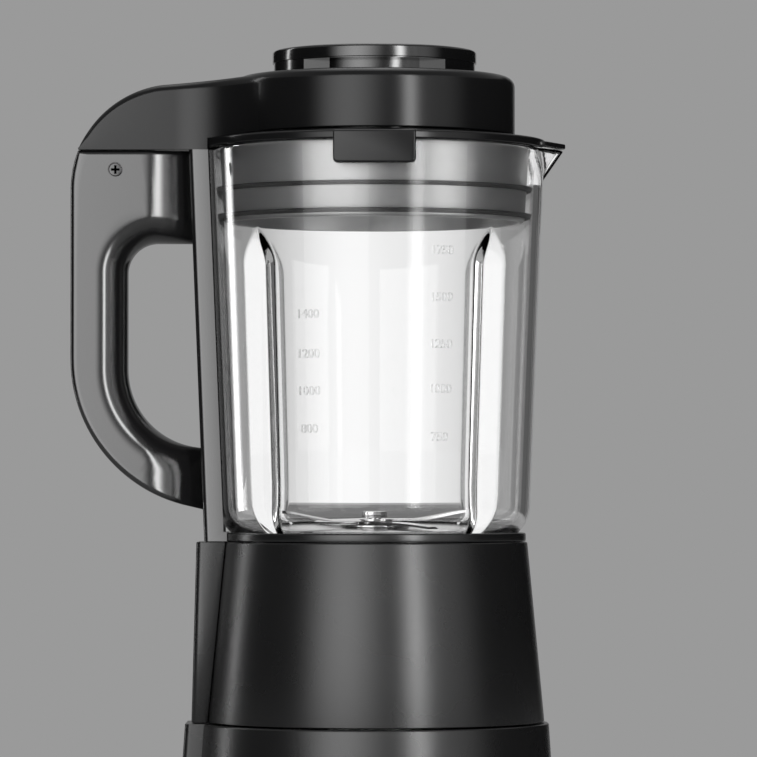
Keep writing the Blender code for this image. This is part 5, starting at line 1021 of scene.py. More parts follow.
@dataclass
class JugFoot:
    """Collar, cover, heating plate and connector under the glass."""

    collar_radius: float = 0.0650
    skirt: float = 0.0594
    skirt_wall: float = 0.0025
    cover_wall: float = 0.0025
    cover_lip: float = 0.006
    cover_hole: float = 0.0165
    seat_radius: float = 0.0165
    seat_centre: float = 0.0509
    plate_edge: float = 0.0520
    plate_rise: float = 0.0474
    plate: float = 0.0014
    plate_flange: float = 0.1803
    plate_top: float = 0.1857
    hole: float = 0.0123

    def build(self, shop: Workshop) -> None:
        """Make and fit the pieces.

        Args:
            shop: the workshop.
        """
        top_angle = -math.asin((LEVELS.corner - LEVELS.collar_top) / self.seat_radius)
        inner = self.skirt - self.skirt_wall
        low_angle = -math.acos((inner - self.seat_centre) / self.seat_radius)
        seat = arc((self.seat_centre, LEVELS.corner), self.seat_radius, low_angle, top_angle, 8)
        skirt_floor = LEVELS.jug_cover + 0.0028
        collar = shop.turned("collar_ring", seat + [
            (self.collar_radius, LEVELS.collar_top, 0.0009), (self.collar_radius, LEVELS.collar_floor, 0.0004),
            (self.skirt, LEVELS.collar_floor), (self.skirt, skirt_floor, 0.0004), (inner, skirt_floor)], LARGE_FACETS)
        shop.fit(collar, Body.JUG, Look.GLOSS, "jug_collar")
        low, top = LEVELS.jug_cover, LEVELS.jug_cover + self.cover_wall
        ring = inner - LEVELS.gap
        cover = shop.turned("jug_underside", [
            (self.cover_hole, low, 0.0006), (self.skirt, low, 0.0008), (self.skirt, top), (ring, top),
            (ring, top + self.cover_lip), (ring - self.cover_wall, top + self.cover_lip), (ring - self.cover_wall, top),
            (self.cover_hole, top)], 128)
        port = shop.slab("port", box_outline((-0.0515, -0.013), (-0.0345, 0.013), 0.0016), low - 0.002, top + 0.002)
        shop.cut(cover, port)
        shop.fit(cover, Body.JUG, Look.SATIN, "jug_base_cover")
        under = self.plate_top - self.plate
        plate = shop.turned("heating_floor", [
            (self.hole, under), (self.plate_rise - self.plate, under, 0.001),
            (self.plate_rise - self.plate, self.plate_flange), (self.plate_edge, self.plate_flange),
            (self.plate_edge, self.plate_flange + self.plate), (self.plate_rise, self.plate_flange + self.plate),
            (self.plate_rise, self.plate_top, 0.0012), (self.hole, self.plate_top, 0.0004)], 128)
        shop.fit(plate, Body.JUG, Look.STEEL, "heating_plate")
        shop.repaint(Look.DULL_STEEL, "heating_element")
        shop.repaint(Look.STEEL, "temperature_sensor", "housing_nut")
        shop.repaint(Look.RUBBER, "jug_seal", "blade_seal")
        shop.repaint(Look.MOTOR, "blade_bearing")
        shop.repaint(Look.NYLON, "jug_connector")


@dataclass
class BladeAssembly:
    """Crossed blades, nut, housing and the coupling under the jug."""

    flange_top: float = 0.1878
    lower: float = 0.1882
    upper: float = 0.1900
    nut_low: float = 0.1921
    nut_top: float = 0.1960
    hub_radius: float = 0.0085
    thickness: float = 0.0015
    reach: float = 0.0400
    root_width: float = 0.0150
    tip_width: float = 0.0060
    sweep: float = 0.0050
    bend_share: float = 0.42
    upper_lift: float = 0.0052
    lower_drop: float = 0.0008
    edge: float = 0.00025
    spindle: float = 0.0033
    spindle_low: float = 0.1721
    spindle_top: float = 0.1957
    nut_radius: float = 0.0055
    hub_proud: float = 0.00005

    def wing(self, shop: Workshop, name: str, height: float, rise: float, side: int) -> Piece:
        """Make one swept wing.

        Args:
            shop: the workshop.
            name: the object's name.
            height: its underside at the hub.
            rise: how far its tip bends up.
            side: 1 or -1.

        Returns:
            The wing.
        """
        rings = []
        stations = 24
        for step in range(stations + 1):
            share = step / stations
            x = side * (self.hub_radius * 0.45 + (self.reach - self.hub_radius * 0.45) * share)
            width = self.root_width + (self.tip_width - self.root_width) * share
            bent = max(0.0, (share - self.bend_share) / (1 - self.bend_share))
            blend = bent * bent * (3 - 2 * bent) * 0.4 + bent * 0.6
            low = height + rise * blend
            back = -side * self.sweep * share ** 2
            lead, trail = back + side * width / 2, back - side * width / 2
            bevel = lead - side * width * 0.35
            top = low + self.thickness
            rings.append([(x, lead, low), (x, lead, low + self.edge), (x, bevel, top), (x, trail, top),
                          (x, trail, low)])
        return shop.lofted(name, rings)

    def blade(self, shop: Workshop, name: str, height: float, rise: float, turn: float) -> Piece:
        """Make a two-winged blade.

        Args:
            shop: the workshop.
            name: the object's name.
            height: its underside.
            rise: how far its tips bend up.
            turn: its angle about the axis.

        Returns:
            The blade.
        """
        low, top = height - self.hub_proud, height + self.thickness + self.hub_proud
        hub = shop.turned(name, [(self.spindle, low), (self.hub_radius, low, 0.0002), (self.hub_radius, top, 0.0002),
                                 (self.spindle, top)], 48, 2)
        for side in (1, -1):
            wing = self.wing(shop, "wing", height, rise, side)
            middle = shop.rod("middle", self.hub_radius * 0.8, (0, 0, height - 0.01), (0, 0, height + 0.01), 48)
            shop.cut(wing, middle)
            shop.join(hub, wing)
        hub.data.transform(Matrix.Rotation(turn, 4, "Z"))
        return hub

    def build(self, shop: Workshop) -> None:
        """Make and fit the pieces.

        Args:
            shop: the workshop.
        """
        eighth = math.pi / 4
        lower = self.blade(shop, "blade_low", self.lower, -self.lower_drop, eighth * 3)
        upper = self.blade(shop, "blade_high", self.upper, self.upper_lift, eighth * 0.55)
        shop.fit(lower, Body.BLADES, Look.STEEL, "lower_blade")
        shop.fit(upper, Body.BLADES, Look.STEEL, "upper_blade")
        nut = shop.slab("nut_top", arc((0.0, 0.0), self.nut_radius, 0.0, TURN * 5 / 6, 5), self.nut_low, self.nut_top)
        shop.bevelled(nut, 0.0004, 2)
        shop.fit(nut, Body.BLADES, Look.STEEL, "blade_nut")
        spindle = shop.turned("spindle", [
            (0.0, self.spindle_low), (0.004, self.spindle_low, 0.0003), (0.004, self.flange_top),
            (0.003, self.flange_top), (0.003, self.spindle_top, 0.0006), (0.0, self.spindle_top)], 48)
        shop.fit(spindle, Body.BLADES, Look.STEEL, "blade_shaft")
        housing = shop.turned("bearing_flange", [
            (0.0083, 0.1767), (0.012, 0.1767, 0.0004), (0.012, 0.186), (0.015, 0.186, 0.0002),
            (0.0147, self.flange_top, 0.0006), (0.0075, self.flange_top, 0.0003), (0.0075, 0.1853), (0.0044, 0.1853),
            (0.0044, 0.182), (0.0083, 0.182)], 64)
        shop.fit(housing, Body.JUG, Look.STEEL, "blade_bearing_housing")
        shop.repaint(Look.NYLON, "jug_coupling")


@dataclass
class Handle:
    """Column beside the glass and the two half shells of the D handle."""

    half_depth: float = 0.0170
    reach: float = 0.1299
    wall: float = 0.0026
    edge: float = 0.0022
    stand: float = 0.0064
    column_half: float = 0.0175
    column_edge: float = 0.0024
    grip_top_drop: float = 0.0174
    grip_length: float = 0.0726
    heel_radius: float = 0.0645
    grip: float = 0.0241
    opening_drop: float = 0.0403
    arc_radius: float = 0.0450
    top_drop: float = 0.0010
    top_rounding: float = 0.0129
    inner_heel: float = 0.0337
    swell: float = 0.0127
    lean_end: float = math.radians(83)
    scoop_start: float = -0.0965
    scoop_radius: float = 0.0400
    scoop_entry: float = math.radians(12)
    screw_inset: float = 0.0192
    screw_drop: float = 0.0092
    screw_head: float = 0.0028
    jug: GlassJug = field(default_factory=GlassJug)

    def column_x(self, height: float, stand: float) -> float:
        """X of the column's outer face at a height, or of a line beside it."""
        return -(self.jug.radius(height) + stand)

    def stations(self) -> list[tuple[Point, Point]]:
        """Pairs of outer and inner points from the column's top to its foot, square to the opening's edge."""
        stand = self.stand + LEVELS.gap
        top, opening = LEVELS.rim - self.top_drop, LEVELS.rim - self.opening_drop
        grip_x, inner_x = -self.reach, self.grip - self.reach
        grip_top = LEVELS.rim - self.grip_top_drop
        grip_low = grip_top - self.grip_length
        start = math.pi - math.asin((top - grip_top) / self.arc_radius)
        contour = [(self.column_x(top, stand), top)]
        contour += arc((grip_x + self.arc_radius, grip_top), self.arc_radius, start, math.pi, 32)
        contour += arc((grip_x + self.heel_radius, grip_low), self.heel_radius, math.pi, math.pi + self.lean_end + 0.1,
                       72)
        corner = (inner_x + self.top_rounding, opening - self.top_rounding)
        turn = math.atan2(contour[1][1] - corner[1], contour[1][0] - corner[0])
        heel = (inner_x + self.inner_heel, grip_low - self.swell / 3)
        inner = arc(corner, self.top_rounding, QUARTER, turn, 12) + arc(corner, self.top_rounding, turn, math.pi,
                                                                        18)[1:]
        aims = [QUARTER + (turn - QUARTER) * step / 12 for step in range(13)]
        aims += [turn + (math.pi - turn) * step / 18 for step in range(1, 19)]
        grip = spaced((inner_x, corner[1]), (inner_x, heel[1]), 10)[1:]
        inner += grip + arc(heel, self.inner_heel, math.pi, math.pi + self.lean_end, 28)
        aims += [math.pi] * len(grip) + [math.pi + self.lean_end * step / 28 for step in range(29)]
        outer = [self.crossing(contour, point, aim) for point, aim in zip(inner, aims)]
        inner = spaced((self.column_x(opening, stand), opening), inner[0], 12) + inner
        outer = spaced((self.column_x(top, stand), top), outer[0], 12) + outer
        outer[-1] = self.on_column(outer[-2], outer[-1], stand)
        inner[-1] = self.on_column(inner[-2], inner[-1], stand)
        return list(zip(outer, inner))

    def crossing(self, contour: Sequence[Point], point: Point, aim: float) -> Point:
        """Where a ray meets the outer contour.

        Args:
            contour: points along the contour.
            point: the ray's start.
            aim: its angle.

        Returns:
            The nearest crossing.
        """
        ray = Vector((math.cos(aim), math.sin(aim)))
        found = []
        for near, far in zip(contour, contour[1:]):
            run, gap = Vector(far) - Vector(near), Vector(near) - Vector(point)
            across = ray.cross(run)
            if abs(across) < WELD * WELD:
                continue
            share, reach = gap.cross(ray) / across, gap.cross(run) / across
            if -0.001 <= share <= 1.001 and reach > 0.0:
                found.append(reach)
        reach = min(found)
        return (point[0] + ray.x * reach, point[1] + ray.y * reach)

    def on_column(self, before: Point, point: Point, stand: float) -> Point:
        """Slide a point along its line until it meets the column.

        Args:
            before: the point before it.
            point: the point to slide.
            stand: distance of the column's face from the glass.

        Returns:
            The point on the column.
        """
        for _ in range(8):
            share = (self.column_x(point[1], stand) - before[0]) / (point[0] - before[0])
            point = (before[0] + (point[0] - before[0]) * share, before[1] + (point[1] - before[1]) * share)
        return point

    def depth(self, x: float) -> float:
        """Half depth of the shells at an X, which rolls away towards the column."""
        past = x - self.scoop_start
        if past <= 0.0:
            return self.half_depth
        sine = min(0.85, math.sin(self.scoop_entry) + past / self.scoop_radius)
        return self.half_depth - self.scoop_radius * (math.cos(self.scoop_entry) - math.sqrt(1 - sine ** 2))

    def slant(self, line: Sequence[Point], index: int, away: Vector) -> float:
        """How much longer a width gets when it is measured along the section, not square to a line.

        Args:
            line: points along the outer line.
            index: the station.
            away: direction of the section.

        Returns:
            The factor.
        """
        run = Vector(line[min(index + 1, len(line) - 1)]) - Vector(line[max(index - 1, 0)])
        if run.length < WELD:
            return 1.0
        run.normalize()
        return 1.0 / max(0.5, abs(run.x * away.y - run.y * away.x))

    def section(self, stations: Sequence[tuple[Point, Point]], index: int, side: int) -> list[Corner]:
        """Section of one half shell.

        Args:
            stations: pairs of outer and inner points.
            index: the station.
            side: -1 for the front, 1 for the rear.

        Returns:
            The section's points.
        """
        outer, inner = stations[index]
        away = Vector(outer) - Vector(inner)
        length = away.length
        away.normalize()
        half, wall, split = self.half_depth, self.wall, LEVELS.gap / 2
        edge = self.edge * self.slant([pair[0] for pair in stations], index, away)
        swell = min(self.swell, length * 0.6)
        points = [(length, split), (length, half * 0.5)]
        points += [(length - edge + a, half - self.edge + b * self.edge / edge)
                   for a, b in arc((0.0, 0.0), edge, 0.0, QUARTER, 6)]
        flat = length - edge - swell
        points += [(length - edge - flat * step / 10, half) for step in range(1, 10)]
        points += [(swell - swell * math.cos(QUARTER * (1 - step / 12)),
                    split + (half - split) * math.sin(QUARTER * (1 - step / 12))) for step in range(13)]
        points += [(swell - (swell - wall) * math.cos(QUARTER * step / 4),
                    split + (half - wall - split) * math.sin(QUARTER * step / 4)) for step in range(5)]
        points += [(length - wall, half - wall), (length - wall, split)]
        found = []
        for reach, depth in points:
            x = inner[0] + away.x * reach
            limit = self.depth(x) / half
            found.append((x, side * max(split, depth * limit), inner[1] + away.y * reach))
        return found

    def build(self, shop: Workshop) -> None:
        """Make and fit the column, the shells and the screw.

        Args:
            shop: the workshop.
        """
        low, high = LEVELS.collar_floor, LEVELS.rim - 0.0006
        rings = []
        for z in (low, high):
            outline = box_outline((self.column_x(z, self.stand), -self.column_half), (-0.0334, self.column_half),
                                  self.column_edge, 6)
            rings.append([(x, y, z) for x, y in outline])
        column = shop.lofted("column", rings)
        shop.cut(column, self.clearance(shop))
        foot = (-(self.jug.radius(low - 0.004) + 0.0033), 0.0, low - 0.004)
        head = (-(self.jug.radius(high + 0.004) + 0.0033), 0.0, high + 0.004)
        shop.cut(column, shop.rod("channel", 0.0016, foot, head, 24))
        shop.fit(column, Body.JUG, Look.GRIP, "handle_column")
        stations = self.stations()
        x, z = -self.reach + self.screw_inset, LEVELS.rim - self.screw_drop
        for name, side, node in (("handle_front", -1, "handle_front_shell"), ("handle_rear", 1, "handle_rear_shell")):
            shell = shop.lofted(name, [self.section(stations, index, side) for index in range(len(stations))])
            if side < 0:
                head = shop.rod("seat", self.screw_head + 0.0004, (x, -self.half_depth - 0.002, z),
                                (x, -self.half_depth + 0.0021, z), 48)
                shop.cut(shell, head)
            shop.fit(shell, Body.JUG, Look.GRIP, node)
        self.screw(shop, x, z)
        shop.repaint(Look.STEEL, "interlock_rod")

    def clearance(self, shop: Workshop) -> Piece:
        """Make the solid that the glass and the collar fill, a little larger.

        Args:
            shop: the workshop.

        Returns:
            The cutter.
        """
        extra = LEVELS.gap
        step = LEVELS.collar_top + extra
        low, high = LEVELS.collar_floor - 0.01, LEVELS.rim + 0.01
        return shop.turned("clearance", [
            (0.0, low), (0.065 + extra, low), (0.065 + extra, step), (self.jug.radius(step) + extra, step),
            (self.jug.radius(high) + extra, high), (0.0, high)], LARGE_FACETS)

    def screw(self, shop: Workshop, x: float, z: float) -> None:
        """Make the cross-head screw in the front shell.

        Args:
            shop: the workshop.
            x: its X.
            z: its height.
        """
        head = shop.turned("cross_screw", [(0.0, 0.0), (self.screw_head, 0.0), (self.screw_head, 0.0019, 0.0003),
                                           (0.0, 0.0019)], 64)
        arm, reach, face = 0.0005, self.screw_head * 0.66, 0.0019
        groove = [(-arm, face), (0.0, face - arm * 2.6), (arm, face), (arm, face + arm), (-arm, face + arm)]
        for plane in ("YZ", "XZ"):
            shop.cut(head, shop.slab("groove", groove, -reach, reach, plane))
        head.data.transform(Matrix.Translation((x, -self.half_depth + 0.0020, z)) @ Matrix.Rotation(QUARTER, 4, "X"))
        shop.fit(head, Body.JUG, Look.BLACK_STEEL, "handle_screw")


@dataclass
class Lid:
    """Rim with its tab, shell with the tongue over the handle, plug and seal rings."""

    rim_outer: float = 0.0736
    rim_inner: float = 0.0560
    radius: float = 0.0604
    wall: float = 0.0026
    rounding: float = 0.0045
    crown: float = 0.0006
    feed: float = 0.0395
    feed_wall: float = 0.0025
    feed_length: float = 0.0220
    tongue_half: float = 0.0170
    tongue_arc: float = 0.0450
    tongue_edge: float = 0.0034
    tongue_reach: float = 0.1299
    tongue_sink: float = 0.0003
    tongue_blend: float = 0.0450
    tongue_bend: float = 0.14
    tongue_seat: float = -0.0479
    slope_step: float = 0.0001
    skirt: float = 0.0020
    tab_half: float = 0.01725
    tab_height: float = 0.0137
    tab_proud: float = 0.0046
    plug_top: float = 0.0664
    plug_foot: float = 0.0645
    plug_height: float = 0.0316
    plug_wall: float = 0.0024
    seal_half: float = 0.0009
    handle: Handle = field(default_factory=Handle)

    def tongue_top(self, x: float) -> float:
        """Height of the tongue's top line at an X."""
        centre_x = -self.tongue_reach + self.tongue_arc
        centre_z = LEVELS.rim - self.handle.grip_top_drop
        bend = centre_x - self.tongue_arc * self.tongue_bend
        if x < bend:
            return centre_z + math.sqrt(max(self.tongue_arc ** 2 - (x - centre_x) ** 2, 0.0))
        start = centre_z + self.tongue_arc * math.sqrt(1 - self.tongue_bend ** 2)
        share = min(1.0, (x - bend) / (self.tongue_seat - bend))
        return start + (LEVELS.deck - self.tongue_sink - start) * share

    def flank(self, x: float) -> float:
        """Half width of the tongue at an X, where a wide concave blend leads into the round lid."""
        blend = self.tongue_blend
        far = math.sqrt((self.radius + blend) ** 2 - (self.tongue_half + blend) ** 2)
        if x <= -far:
            return self.tongue_half
        meet = -far * self.radius / (self.radius + blend)
        if x < meet:
            return self.tongue_half + blend - math.sqrt(max(blend ** 2 - (x + far) ** 2, 0.0))
        return math.sqrt(max(self.radius ** 2 - x ** 2, self.tongue_half ** 2)) - 0.0002

    def tongue(self, shop: Workshop) -> Piece:
        """Make the tongue over the handle, up to the lid's inside.

        Args:
            shop: the workshop.

        Returns:
            The tongue.
        """
        low = LEVELS.rim - self.handle.top_drop + 0.0004
        centre_x = -self.tongue_reach + self.tongue_arc
        centre_z = LEVELS.rim - self.handle.grip_top_drop
        tip = centre_x - math.sqrt(self.tongue_arc ** 2 - (low - centre_z) ** 2)
        rings = []
        stations = 72
        for step in range(stations + 1):
            share = (step / stations) ** 1.25
            x = tip + (self.tongue_seat - tip) * share
            top = max(self.tongue_top(x), low + self.tongue_edge * 0.25)
            edge = min(self.tongue_edge, (top - low) * 0.45)
            flank = self.flank(x)
            slope = (self.flank(x + self.slope_step) - self.flank(x - self.slope_step)) / (2 * self.slope_step)
            edge = min(edge + (self.rounding + self.tongue_sink - edge) * min(1.0, slope), (top - low) * 0.45)
            across = edge * math.hypot(1.0, slope)
            half = [(flank, low)] + [(flank - across + a, top - edge + b * edge / across)
                                     for a, b in arc((0.0, 0.0), across, 0.0, QUARTER, 8)]
            ring = half + [(-y, z) for y, z in reversed(half)]
            rings.append([(x, y, z) for y, z in ring])
        return shop.lofted("tongue", rings)

    def build(self, shop: Workshop) -> None:
        """Make and fit the lid's pieces.

        Args:
            shop: the workshop.
        """
        self.build_rim(shop)
        self.build_shell(shop)
        self.build_plug(shop)

    def build_rim(self, shop: Workshop) -> None:
        """Make the rim, its spout cover, its sole and the front tab.

        Args:
            shop: the workshop.
        """
        cone = LEVELS.rim_top + 0.0018
        rim = shop.turned("lid_flange", [
            (self.rim_inner, LEVELS.rim_floor), (self.rim_outer, LEVELS.rim_floor, 0.0008),
            (self.rim_outer, LEVELS.rim_top, 0.0010), (self.radius, cone), (self.rim_inner, cone)], LARGE_FACETS)
        jug = self.handle.jug
        spread = jug.rim_radius * math.sin(jug.spout_sweep)
        tip = jug.rim_radius + jug.spout_reach + 0.0006
        cover = shop.slab("spout_cover", rounded([
            (self.radius, -spread), (jug.rim_radius, -spread, 0.004), (tip, -0.0012, 0.0022), (tip, 0.0012, 0.0022),
            (jug.rim_radius, spread, 0.004), (self.radius, spread)], 6), LEVELS.rim_floor + 0.0002,
                          LEVELS.rim_floor + 0.0024)
        shop.bevelled(cover, 0.0006, 2)
        inner = self.tongue_half - self.skirt
        sole = shop.slab("sole", box_outline((-0.0950, -inner), (-self.radius, inner), 0.004),
                         LEVELS.rim_floor + 0.00015, LEVELS.rim_top - 0.0003)
        shop.join(rim, cover, sole)
        top = LEVELS.rim_top - 0.0003
        outline = rounded([(-self.tab_half, top - self.tab_height, 0.0022),
                           (self.tab_half, top - self.tab_height, 0.0022), (self.tab_half, top, 0.0008),
                           (-self.tab_half, top, 0.0008)], 6)
        tab = shop.slab("tab", outline, -self.rim_outer - self.tab_proud, -self.radius, "XZ")
        shop.bevelled(tab, 0.0008, 3)
        relief = shop.turned("relief", [
            (0.0, 0.33), (self.rim_outer - 0.0003, 0.33), (self.rim_outer - 0.0003, LEVELS.rim_floor + 0.0002),
            (0.0, LEVELS.rim_floor + 0.0002)], LARGE_FACETS)
        shop.cut(tab, relief)
        shop.join(rim, tab)
        shop.fit(rim, Body.LID, Look.LID, "lid_rim")

    def build_shell(self, shop: Workshop) -> None:
        """Make the shell with its feed opening and the tongue.

        Args:
            shop: the workshop.
        """
        deck_inner = LEVELS.deck + self.crown
        tube_low = LEVELS.deck - self.feed_length
        shell = shop.turned("lid_cover", [
            (self.radius, LEVELS.lid_floor + 0.00015, 0.0006), (self.radius, LEVELS.deck, self.rounding),
            (self.feed, deck_inner, 0.0008), (self.feed, tube_low), (self.feed + self.feed_wall, tube_low),
            (self.feed + self.feed_wall, LEVELS.deck - self.wall),
            (self.radius - self.wall, LEVELS.deck - self.wall, 0.002),
            (self.radius - self.wall, LEVELS.lid_floor + 0.00015)], LARGE_FACETS, 8)
        tongue = self.tongue(shop)
        half = self.tongue_half - self.skirt + LEVELS.gap
        sole_room = shop.slab("sole_room", [(-0.0953, -half), (0.0, -half), (0.0, half), (-0.0953, half)], 0.34,
                              LEVELS.rim_top)
        outer = self.rim_outer + LEVELS.gap
        rim_room = shop.turned("rim_room", [
            (0.0, 0.34), (outer, 0.34), (outer, LEVELS.rim_top + 0.0003), (self.radius, LEVELS.rim_top + 0.0021),
            (0.0, LEVELS.rim_top + 0.0021)], LARGE_FACETS)
        inside = shop.turned("inside", [
            (0.0, 0.35), (self.radius - self.wall / 2, 0.35),
            (self.radius - self.wall / 2, LEVELS.deck - self.rounding),
            (self.radius - self.rounding, LEVELS.deck - self.wall / 2), (0.0, LEVELS.deck - self.wall / 2)],
                             LARGE_FACETS)
        shop.cut(tongue, sole_room, rim_room, inside)
        shop.join(shell, tongue)
        shop.fit(shell, Body.LID, Look.LID, "lid_shell")

    def build_plug(self, shop: Workshop) -> None:
        """Make the plug and its two seal rings.

        Args:
            shop: the workshop.
        """
        top = LEVELS.rim_floor - LEVELS.gap
        low = top - self.plug_height
        tube, tube_low = self.feed + 0.003, top - 0.020
        plug = shop.turned("plug_skin", [
            (tube, tube_low, 0.0004), (tube, top), (self.plug_top, top, 0.0006), (self.plug_foot, low, 0.0016),
            (self.plug_foot - self.plug_wall, low, 0.0004), (self.plug_top - self.plug_wall, top - 0.0025),
            (tube + self.plug_wall, top - 0.0025), (tube + self.plug_wall, tube_low, 0.0004)], LARGE_FACETS)
        shop.fit(plug, Body.LID, Look.PLUG, "lid_plug")
        jug = self.handle.jug
        for name, drop, node in (("seal_high", 0.0176, "lid_seal_upper"), ("seal_low", 0.0291, "lid_seal_lower")):
            z = LEVELS.rim - drop
            half = self.seal_half
            inner = self.plug_top + (self.plug_foot - self.plug_top) * (top - z - half) / self.plug_height + 0.0002
            outer = jug.radius(z) - jug.wall - 0.0004
            ring = shop.turned(name, [(inner, z - half), (outer - 0.0006, z - half, 0.0003), (outer, z + half, 0.0003),
                                      (inner, z + half)], LARGE_FACETS)
            shop.fit(ring, Body.LID, Look.RUBBER, node)


@dataclass
class FillerCap:
    """Dished cap with finger recesses, its cup and its gasket."""

    radius: float = 0.0439
    neck_inset: float = 0.0006
    dish: float = 0.0012
    rim_width: float = 0.0040
    cup_radius: float = 0.0363
    cup_wall: float = 0.0023
    cup_length: float = 0.0350
    finger_half: float = 0.0300

    def build(self, shop: Workshop) -> None:
        """Make and fit the cap and its gasket.

        Args:
            shop: the workshop.
        """
        neck = self.radius - self.neck_inset
        cup_low = LEVELS.cap_floor - self.cup_length
        cup_inner = self.cup_radius - self.cup_wall
        rim_inner = self.radius - self.rim_width
        roof = LEVELS.cap_shoulder - self.cup_wall
        cap = shop.turned("cap_disc", [
            (0.0, LEVELS.cap_top - self.dish), (rim_inner, LEVELS.cap_top - self.dish, 0.0012),
            (rim_inner + self.dish, LEVELS.cap_top, 0.0006), (self.radius, LEVELS.cap_top, 0.0012),
            (self.radius, LEVELS.cap_shoulder, 0.0004), (neck, LEVELS.cap_shoulder), (neck, LEVELS.cap_floor, 0.0004),
            (self.cup_radius, LEVELS.cap_floor), (self.cup_radius, cup_low, 0.0006), (cup_inner, cup_low, 0.0006),
            (cup_inner, roof, 0.002), (0.0, roof)], LARGE_FACETS)
        start = math.sqrt(neck ** 2 - self.finger_half ** 2)
        for side in (-1, 1):
            near, far = sorted((side * start, side * (self.radius + 0.002)))
            well = shop.slab("recess", [(-self.finger_half, near), (self.finger_half, near), (self.finger_half, far),
                                        (-self.finger_half, far)], LEVELS.cap_floor - 0.0005,
                             LEVELS.cap_shoulder - 0.0003)
            middle = shop.rod("middle", self.cup_radius + 0.0003, (0, 0, 0.375), (0, 0, 0.4), LARGE_FACETS)
            shop.cut(well, middle)
            shop.cut(cap, well)
        shop.fit(cap, Body.CAP, Look.CAP, "filler_cap")
        top = LEVELS.deck - 0.008
        inner, outer = self.cup_radius + 0.0003, 0.0392
        gasket = shop.turned("cap_seal", [(inner, top - 0.003), (outer - 0.0008, top - 0.003, 0.0004),
                                          (outer, top, 0.0004), (inner, top)], 128)
        shop.fit(gasket, Body.CAP, Look.RUBBER, "cap_gasket")


